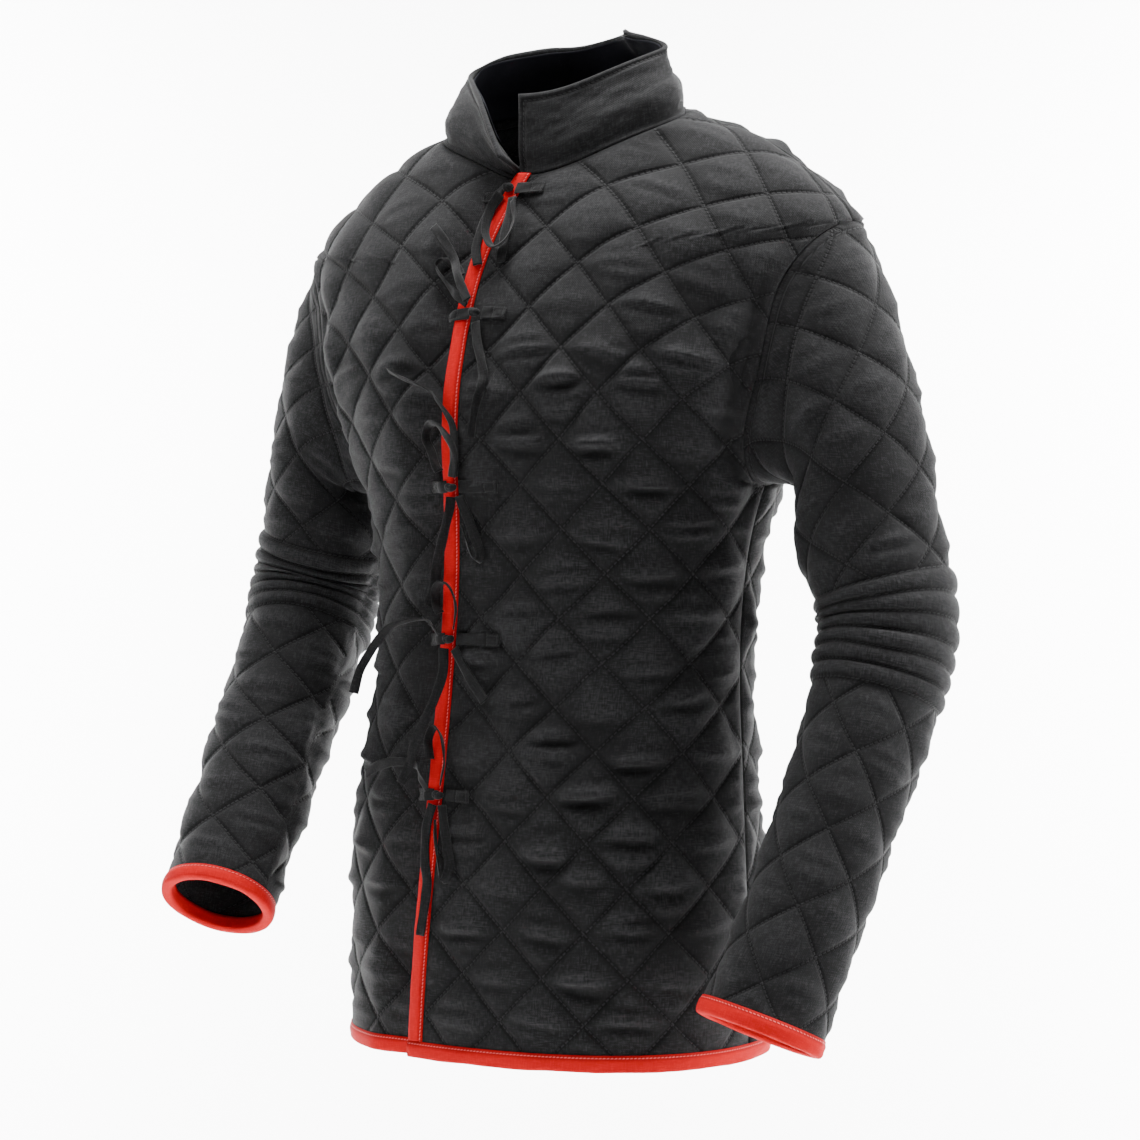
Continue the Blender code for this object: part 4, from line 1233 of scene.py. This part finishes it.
def dense_neck():
    """The neckline from the left end round to the right: angles, points, normals, ways onward."""
    start = over_edge(FRONT_NECK_Z)
    angle = np.linspace(start, 2 * np.pi + np.radians(COLLAR_END), 240)
    top = row_height(np.full_like(angle, 3.0), angle)
    low = row_height(np.full_like(angle, 2.9), angle)
    under = (angle > np.pi) & (np.cos(angle) > 0)
    sink = np.where(under, lap_inset(angle - 2 * np.pi, top), 0.0)[:, None]
    normal = body_normal(angle, top)
    place = body_point(angle, top) - sink * normal
    onward = body_point(angle, top) - body_point(angle, low)
    onward -= normal * np.sum(onward * normal, axis=1)[:, None]
    return angle, place, normal, unit(onward)


def collar_rows(rises):
    """The collar's middle surface at the given shares of its height, in dense columns."""
    angle, point, normal, onward = dense_neck()
    degrees = np.degrees(angle)
    outward = unit(normal * [1.0, 1.0, 0.0])
    lean = np.radians(through(COLLAR, "lean", degrees))[:, None]
    up = np.cos(lean) * [0.0, 0.0, 1.0] + np.sin(lean) * outward
    spread = np.cos(lean) * outward - np.sin(lean) * [0.0, 0.0, 1.0]
    height = through(COLLAR, "height", degrees)[:, None]
    puff = through(COLLAR, "puff", degrees)[:, None]
    rows = [point + onward * COLLAR_GAP]
    for share in np.linspace(0.25, 0.9, 4):
        rows.append(rows[0] + (onward * share + up * share**2 * 0.35) * COLLAR_TURN)
    knots = np.array((COLLAR_RISE[0] - 0.04, *COLLAR_RISE))
    swell = np.array((PUFF_SHAPE[0] * 0.8, *PUFF_SHAPE))
    for rise in rises:
        bulge = np.interp(rise, knots, swell)
        rows.append(point + onward * COLLAR_TURN + up * height * rise + spread * puff * bulge)
    rows = np.stack(rows)
    for _ in range(6):
        rows[1:-1] = 0.25 * rows[:-2] + 0.5 * rows[1:-1] + 0.25 * rows[2:]
    for _ in range(30):
        rows[:, 1:-1] = 0.25 * rows[:, :-2] + 0.5 * rows[:, 1:-1] + 0.25 * rows[:, 2:]
        rows[0] = point + onward * COLLAR_GAP
    normals = surface_normals(rows)
    normals = normals * np.sign(np.sum(normals * outward, axis=2).mean())
    normals[0] = normal
    for k in range(1, 4):
        normals[k] = unit(normal * (1 - k / 4) + normals[4] * k / 4)
    return rows, normals


class GAMBESON_OT_collar(bpy.types.Operator):
    """Build the padded stand collar and the lining inside it"""

    bl_idname = "gambeson.collar"
    bl_label = "Stand Collar"

    def execute(self, context):
        rows, normals = collar_rows(np.linspace(0.03, 1.0, 34))
        across, up = distance_gone(rows, 1).mean(axis=0), distance_gone(rows)
        across = np.broadcast_to(across, up.shape)
        ends = np.minimum(across, across[:, -1:] - across)
        edge = np.minimum(up[-1:] - up, ends)
        stitched = np.exp(-(((edge - 0.006) / 0.0016) ** 2))
        thick = COLLAR_WALL * (0.45 + 0.55 * np.sqrt(np.clip(edge / 0.003, 0, 1)))
        thick = np.where(up < 0.008, COLLAR_WALL, thick)
        ripple = 0.0010 * broad(across, up * 1.5, 31, 0.07) + 0.0005 * wrinkle(across, up, 32)
        height = ripple * edge_fade(edge, 0.012) * edge_fade(up, 0.010) - 0.0007 * stitched
        finish, marks = material("collar"), row_marks(edge - 0.006)
        piece = padded_piece(
            "collar", rows, normals, (across, up), height, marks, finish, thick, share=0.3
        )
        trim = slice(6, -6)
        rows, normals = rows[4:-2, trim], normals[4:-2, trim]
        across, up = across[4:-2, trim], up[4:-2, trim]
        inside = COLLAR_WALL / 2 + LINING_GAP + LINING / 2
        height = 0.0005 * broad(across, up, 33, 0.05) - 0.0004
        thick = np.full_like(height, LINING)
        rows = rows - normals * inside
        piece = padded_piece(
            "collar_lining", rows, normals, (across, up), height, {}, material("lining"), thick, 0.3
        )
        return {"FINISHED"}


# ---------------------------------------------------------------- bindings


def make_binding(name, edge, edge_normal, inside, inside_normal, seed, closed=False):
    """A strip folded round a raw edge: over the face, round the edge and back along the inside."""
    out = unit(edge - inside)
    gone = distance_gone(edge)
    high = WALL / 2 + BINDING_GAP + BINDING
    profile = []
    for share in np.linspace(0.0, 1.0, 7):
        crown = 0.0007 * np.sin(np.pi * share) - 0.0006 * (1 - share) ** 6
        point = inside + (edge - inside) * share
        normal = unit(inside_normal * (1 - share) + edge_normal * share)
        profile.append(point + normal * (high + crown))
    for turn in np.linspace(0, np.pi, 8)[1:-1]:
        round_it = out * np.sin(turn) * (SEAM + BINDING + 0.0010)
        profile.append(edge + round_it + edge_normal * np.cos(turn) * high)
    for share in np.linspace(1.0, 0.0, 5):
        point = inside + (edge - inside) * share
        normal = unit(inside_normal * (1 - share) + edge_normal * share)
        profile.append(point - normal * high)
    points = np.stack(profile, axis=1)
    normals = surface_normals(points)
    normals *= np.sign(np.sum(normals[:, 2] * edge_normal))
    if closed:
        for table in (points, normals):
            table[-1] = table[0]
    around = distance_gone(points, 1).mean(axis=0)
    across, up = np.broadcast_arrays(around[None, :], gone[:, None])
    ripple = 0.00028 * wrinkle(up, across * 2.0, seed) + 0.0002 * broad(up, across, seed + 1, 0.05)
    stitched = np.exp(-(((across - 0.0022) / 0.0008) ** 2))
    ripple = ripple * edge_fade(across + 0.0005, 0.004) - 0.0004 * stitched
    if closed:
        ripple = ripple * (1 - np.exp(-((np.minimum(gone, gone[-1] - gone) / 0.004) ** 2)))[:, None]
    outer, inner = points + normals * ripple[..., None], points - normals * BINDING
    marks, finish = row_marks(across - 0.0022), material("binding")
    wrap = 1 if closed else None
    piece = wall_piece(name, outer, inner, (across, up), marks, finish, wrap)


def front_edge_lines(side):
    """A front's edge and the line a binding's width in from it, each with its normals."""
    first = (HEM_BINDING_WIDTH + SEAM) / (PIT_Z - HEM_Z)
    steps = np.interp(np.linspace(0, 1, 260), (0, 0.62, 0.88, 1), (first, 1, 2, 3))
    z_edge = row_height(steps, 0.0)
    edge = over_edge(z_edge) if side > 0 else under_edge(z_edge)
    away = edge + side * EDGE_BINDING_WIDTH / reach_at(edge, z_edge)
    lines = []
    for angle in (edge, away):
        z = row_height(steps, angle)
        normal = body_normal(angle, z)
        point = body_point(angle, z)
        if side < 0:
            point = point - lap_inset(angle, z)[:, None] * normal
        lines += [point, normal]
    return lines


def hem_lines():
    """The hem from the over front's corner round the back to the under front's corner."""
    steps = np.array([0.0, HEM_BINDING_WIDTH / (PIT_Z - HEM_Z)])
    z_edge = row_height(steps, 0.0)
    start, finish = over_edge(z_edge), 2 * np.pi + under_edge(z_edge)
    share = np.linspace(0.0, 1.0, 420)
    angle = start[:, None] + (finish - start)[:, None] * share
    z = row_height(steps[:, None], angle)
    normal = body_normal(angle, z)
    point = body_point(angle, z)
    under = angle > 1.5 * np.pi
    point = point - np.where(under, lap_inset(angle - 2 * np.pi, z), 0.0)[..., None] * normal
    for row in range(2):
        point[row, 0] += unit(point[row, 0] - point[row, 1]) * (SEAM + BINDING)
        point[row, -1] += unit(point[row, -1] - point[row, -2]) * (SEAM + BINDING)
    return point[0], normal[0], point[1], normal[1]


class GAMBESON_OT_bindings(bpy.types.Operator):
    """Fold the coloured strips round the front edges, the hem and the cuffs"""

    bl_idname = "gambeson.bindings"
    bl_label = "Edge Bindings"

    def execute(self, context):
        for name, side, seed in (("edge_binding_left", 1, 41), ("edge_binding_right", -1, 42)):
            make_binding(name, *front_edge_lines(side), seed)
        make_binding("hem_binding", *hem_lines(), 43)
        cuff = SLEEVE_END - CUFF_BINDING_WIDTH / CUFF_STEP
        steps = np.append(np.linspace(0.0, cuff, 24), SLEEVE_END)
        for name, table, seed in (("left", LEFT_SLEEVE, 44), ("right", RIGHT_SLEEVE, 45)):
            rings, normals = (
                np.concatenate([made, made[:, :1]], axis=1)
                for made in sleeve_surface(table, steps, SLEEVE_COLUMNS)
            )
            lines = rings[-1], normals[-1], rings[-2], normals[-2]
            make_binding("cuff_binding_" + name, *lines, seed, closed=True)
        return {"FINISHED"}


# ---------------------------------------------------------------- ties


def on_cloth(tie, across, down, lift):
    """Points over the fronts, round from a tie's knot; past the over front, down to the under."""
    z = tie.height - down
    line = angle_at_x(through(FRONT_EDGE, "over_x", tie.height), z)
    across = across + tie.across
    reach = reach_at(line, z)
    angle = line + across / reach
    reach = (reach + reach_at(angle, z)) / 2
    angle = line + across / reach
    normal = body_normal(angle, z)
    past = (over_edge(z) - angle) * reach
    sink = np.where(past > 0, lap_inset(angle, z) * smooth(past / SINK_WIDTH), 0.0)
    place = body_point(angle, z) + (WALL / 2 + lift - sink)[..., None] * normal
    return place, normal


def tab_bends(start, finish):
    """The route of a sewn tab, straight across from the knot."""
    return tuple(Bend(start + (finish - start) * f, 0.001 * f, 0.0023, 0) for f in (0.0, 0.5, 1.0))


def tape_line(tie, bends, width, detail):
    """A tape's middle line, the way across it and the way out of its face."""
    at = np.arange(len(bends), dtype=float)
    fine = np.linspace(0, len(bends) - 1, (len(bends) - 1) * detail + 1)
    rows = [Turn(k, *bend) for k, bend in zip(at, bends)]
    across, down, lift, turn = (through(rows, f, fine) for f in ("across", "down", "lift", "turn"))
    standing = TAPE_CLEAR + np.abs(np.sin(np.radians(turn))) * width / 2
    middle, normal = on_cloth(tie, across, down, np.maximum(lift, standing))
    along = unit(np.gradient(middle, axis=0))
    normal = unit(normal - along * np.sum(normal * along, axis=1)[:, None])
    side = np.cross(along, normal)
    turn = np.radians(turn)[:, None]
    wide = np.cos(turn) * side + np.sin(turn) * normal
    thick = np.cos(turn) * normal - np.sin(turn) * side
    return middle, wide, thick


def make_tape(name, tie, bends, width, seed, tab=False):
    """A flat woven tape; a tab is sewn down in a box of stitches at its far end."""
    middle, wide, thick = tape_line(tie, bends, width, 24 if tab else 12)
    gone = distance_gone(middle)
    half = np.linspace(-1.0, 1.0, 15 if tab else 7)
    size = width / 2 * (1 + 0.05 * np.sin(gone * 90 + seed) + 0.03 * np.sin(gone * 233 + 2 * seed))
    cup = 0.0006 * (half**2)[None, :] * np.sin(gone * 70 + seed)[:, None]
    cup = cup + 0.0003 * np.sin(gone[:, None] * 210 + 3 * half[None, :] + seed)
    points = middle[:, None] + wide[:, None] * (size[:, None] * half)[..., None]
    points = points + thick[:, None] * cup[..., None]
    normals = np.repeat(thick[:, None], len(half), axis=1)
    across, up = np.broadcast_arrays((half * width / 2)[None, :], gone[:, None])
    marks = {}
    if tab:
        rest = gone[-1] - up
        box = np.where(rest < 0.0115, np.abs(np.abs(across) - 0.0036), 0.01)
        box = np.minimum(box, np.minimum(np.abs(rest - 0.0022), np.abs(rest - 0.0115)))
        marks = row_marks(box)
    skin = normals * (TAPE / 2 * np.sqrt(np.clip(1.15 - half**2, 0.05, 1))[None, :, None])
    finish = material("tab" if tab else "tape")
    piece = wall_piece(name, points + skin, points - skin, (across, up), marks, finish)
    return piece, middle, float(gone[-1])


# A knot's wound bands: turn in degrees, then how wide, deep and tall, and how far to one side
Band = namedtuple("Band", "turn wide deep tall aside")
KNOT_BANDS = (
    Band(15, 0.62, 0.95, 0.85, -0.30),
    Band(-35, 0.60, 1.00, 0.80, 0.28),
    Band(80, 0.42, 1.05, 0.70, 0.0),
)


def make_knot(name, tie, seed):
    """A small pulled-tight knot: three bands of tape wound over one another."""
    centre, normal = on_cloth(tie, np.zeros(1), np.zeros(1), np.array([KNOT_LIFT]))
    centre, normal = centre[0], normal[0]
    side = unit(np.cross([0.0, 0.0, 1.0], normal))
    rise = np.cross(normal, side)
    wide, thick, tall = KNOT_SIZE
    bm = bmesh.new()
    uv = bm.loops.layers.uv.new("flat")
    for band in KNOT_BANDS:
        turn = np.radians(band.turn + 9 * np.sin(seed * 2.1))
        made = bmesh.ops.create_uvsphere(bm, u_segments=28, v_segments=18, radius=1.0)
        for vert in made["verts"]:
            a, b, c = vert.co
            rib = 1 + 0.05 * np.sin(9 * c + seed)
            a, b, c = a * band.wide * rib + band.aside, b * band.deep, c * band.tall
            a, c = a * np.cos(turn) - c * np.sin(turn), a * np.sin(turn) + c * np.cos(turn)
            place = side * a * wide / 2 + normal * b * thick + rise * c * tall / 2
            vert.co = centre + place
    for face in bm.faces:
        for loop in face.loops:
            offset = np.array(loop.vert.co) - centre
            loop[uv].uv = (float(offset @ side), float(offset @ rise))
    bmesh.ops.recalc_face_normals(bm, faces=bm.faces)
    return new_piece(name, bm, material("tape"))


class GAMBESON_OT_ties(bpy.types.Operator):
    """Tie the fronts with flat tapes: sewn tabs, knots, loops and free tails"""

    bl_idname = "gambeson.ties"
    bl_label = "Ties"

    def execute(self, context):
        for number, (tie, tapes) in enumerate(zip(TIES, TIE_TAPES), 1):
            name = f"tie_{number}_"
            left, right = tab_bends(TAB_START, tie.tab), tab_bends(-TAB_START, -TAB_RIGHT)
            tabs = [
                make_tape(name + "tab_left", tie, left, TAB_WIDTH, number, True)[0],
                make_tape(name + "tab_right", tie, right, TAB_WIDTH, number + 7, True)[0],
                make_knot(name + "knot", tie, number),
            ]
            for k, (label, bends) in enumerate(tapes):
                seed = number + 3 * k
                piece, middle, length = make_tape(name + label, tie, bends, TAPE_WIDTH, seed)
        return {"FINISHED"}


# ---------------------------------------------------------------- stage


def paper_material():
    """White paper that lets the eye through from behind, so that every side can be looked at."""
    paper = bpy.data.materials.new("gambeson paper")
    paper.use_nodes = True
    tree = paper.node_tree
    shader = tree.nodes["Principled BSDF"]
    behind = new_node(tree, "NewGeometry").outputs["Backfacing"]
    clear = math(tree, "ADD", behind, read_attribute(tree, "clear"), clamp=True)
    seen = math(tree, "SUBTRACT", 1.0, clear)
    fill(tree, shader, {"Base Color": (0.9, 0.9, 0.9, 1.0), "Roughness": 0.9, "Alpha": seen})
    return paper


class GAMBESON_OT_stage(bpy.types.Operator):
    """Set the pale floor and backdrop, soft lights and the camera"""

    bl_idname = "gambeson.stage"
    bl_label = "Stage"

    def execute(self, context):
        stage = context.scene.gambeson_stage
        turn = stage.azimuth
        ahead = np.array([np.sin(turn), -np.cos(turn), 0.0])
        aside = np.array([np.cos(turn), np.sin(turn), 0.0])
        bm = bmesh.new()
        clear = bm.verts.layers.float.new("clear")
        profile = [(5.0, STAGE_FLOOR), (2.2, STAGE_FLOOR), (-BEND, STAGE_FLOOR)]
        for a in np.pi / 2 * np.arange(1, 13) / 12:
            profile.append((-BEND - BEND * np.sin(a), STAGE_FLOOR + BEND * (1 - np.cos(a))))
        profile.append((-2 * BEND, 4.0))
        rows = [
            [bm.verts.new(ahead * d + aside * w + np.array([0, 0, z])) for w in (-9.0, 9.0)]
            for d, z in profile
        ]
        for a, b in zip(rows, rows[1:]):
            bm.faces.new((a[0], a[1], b[1], b[0]))
        for vert in rows[0]:
            vert[clear] = 1.0
        bm.normal_update()
        bm.faces.ensure_lookup_table()
        if bm.faces[0].normal.z < 0:
            bmesh.ops.reverse_faces(bm, faces=bm.faces)
        mesh = bpy.data.meshes.new("backdrop")
        bm.to_mesh(mesh)
        bm.free()
        mesh.shade_smooth()
        mesh.materials.append(paper_material())
        floor = add_object("backdrop", mesh)
        camera = bpy.data.cameras.new("camera")
        camera.lens = stage.lens
        camera.sensor_width = 36.0
        view = add_object("camera", camera)
        view.location = ahead * stage.distance + np.array([0, 0, stage.height])
        view.rotation_euler = (np.pi / 2, 0.0, turn)
        context.scene.camera = view
        world = bpy.data.worlds.new("studio")
        world.use_nodes = True
        tree = world.node_tree
        to_eye = new_node(tree, "LightPath").outputs["Is Camera Ray"]
        strength = math(tree, "MAXIMUM", to_eye, stage.ambient)
        white = (1.0, 1.0, 1.0, 1.0)
        fill(tree, tree.nodes["Background"], {"Color": white, "Strength": strength})
        context.scene.world = world
        for lamp in LIGHTS:
            light = bpy.data.lights.new(lamp.name, "AREA")
            light.shape = "RECTANGLE"
            light.size, light.size_y = lamp.size, lamp.size
            light.energy = lamp.power
            place = aside * lamp.side + ahead * lamp.front + np.array([0, 0, lamp.high])
            aim = aside * lamp.to_side + ahead * lamp.to_front + np.array([0, 0, lamp.to_high])
            made = add_object(lamp.name, light)
            made.location = place
            made.rotation_euler = direction(place - aim)
        return {"FINISHED"}


def direction(aim):
    """The rotation of a light or camera that looks back along aim."""
    flat = np.hypot(aim[0], aim[1])
    return (float(np.arctan2(flat, aim[2])), 0.0, float(np.arctan2(aim[0], -aim[1])))


STAGE_FLOOR = -1.30
BEND = 1.2  # radius of the paper's bend, which starts as far behind the jacket
Lamp = namedtuple("Lamp", "name side front high size power to_side to_front to_high")
LIGHTS = (
    Lamp("key", -1.25, 0.8, 1.9, 1.4, 62.0, 0.0, 0.0, -0.15),
    Lamp("fill", 0.9, 2.4, 0.4, 1.6, 3.0, 0.0, 0.0, -0.35),
    Lamp("top", 0.1, 0.05, 1.9, 0.9, 140.0, 0.0, 0.0, -0.2),
    Lamp("rim", 1.9, 0.2, 0.7, 1.2, 92.0, 0.0, 0.0, -0.45),
    Lamp("paper_left", -1.7, -0.9, 0.2, 1.4, 390.0, -1.2, -2.4, -0.3),
    Lamp("paper_right", 1.7, -0.9, 0.2, 1.4, 390.0, 1.2, -2.4, -0.3),
)


# ---------------------------------------------------------------- settings and panel


class GambesonCloth(bpy.types.PropertyGroup):
    loft: FloatProperty(
        name="Loft", description="Height of each padded diamond", default=0.0046, unit="LENGTH"
    )
    buckle: FloatProperty(
        name="Buckle",
        description="Height of the folds across the diamonds",
        default=0.0058,
        unit="LENGTH",
    )
    pucker: FloatProperty(
        name="Pucker", description="Height of the fine puckers", default=0.00055, unit="LENGTH"
    )
    colour: FloatVectorProperty(
        name="Cloth Colour",
        description="Colour of the outer cloth",
        default=(0.0078, 0.0078, 0.0082),
        subtype="COLOR",
    )


class GambesonTrim(bpy.types.PropertyGroup):
    binding_colour: FloatVectorProperty(
        name="Binding Colour",
        description="Colour of the strips round the edges",
        default=(0.50, 0.0010, 0.0025),
        subtype="COLOR",
    )
    tape_colour: FloatVectorProperty(
        name="Tape Colour",
        description="Colour of the ties",
        default=(0.0060, 0.0060, 0.0063),
        subtype="COLOR",
    )


class GambesonStage(bpy.types.PropertyGroup):
    azimuth: FloatProperty(
        name="Azimuth", description="Camera's turn from the front", default=0.5585, unit="ROTATION"
    )
    distance: FloatProperty(
        name="Distance",
        description="Camera's distance from the neck's axis",
        default=2.4,
        unit="LENGTH",
    )
    height: FloatProperty(
        name="Height", description="Camera's height", default=-0.378, unit="LENGTH"
    )
    ambient: FloatProperty(
        name="Ambient", description="Strength of the light all round", default=0.09
    )
    lens: FloatProperty(name="Lens", description="Focal length in millimetres", default=90.2)


class GAMBESON_PT_sidebar(bpy.types.Panel):
    bl_label = "Gambeson"
    bl_space_type = "VIEW_3D"
    bl_region_type = "UI"
    bl_category = "Gambeson"

    def draw(self, context):
        for operator in OPERATORS:
            self.layout.operator(operator.bl_idname)
        for name, kind in SETTINGS:
            for key in kind.__annotations__:
                self.layout.prop(getattr(context.scene, name), key)


OPERATORS = (
    GAMBESON_OT_stage,
    GAMBESON_OT_ties,
    GAMBESON_OT_body,
    GAMBESON_OT_sleeves,
    GAMBESON_OT_collar,
    GAMBESON_OT_bindings,
)
SETTINGS = (
    ("gambeson_cloth", GambesonCloth),
    ("gambeson_trim", GambesonTrim),
    ("gambeson_stage", GambesonStage),
)


def register():
    for name, kind in SETTINGS:
        bpy.utils.register_class(kind)
        setattr(bpy.types.Scene, name, PointerProperty(type=kind))
    for kind in (*OPERATORS, GAMBESON_PT_sidebar):
        bpy.utils.register_class(kind)


def unregister():
    for kind in (GAMBESON_PT_sidebar, *reversed(OPERATORS)):
        bpy.utils.unregister_class(kind)
    for name, kind in reversed(SETTINGS):
        delattr(bpy.types.Scene, name)
        bpy.utils.unregister_class(kind)


FLAT_FRONT, FLAT_BACK = FlatBody(0.0), FlatBody(np.pi)


def main():
    register()
    bpy.ops.gambeson.stage()
    bpy.ops.gambeson.ties()
    bpy.ops.gambeson.body()
    bpy.ops.gambeson.sleeves()
    bpy.ops.gambeson.collar()
    bpy.ops.gambeson.bindings()


if __name__ == "__main__":
    main()
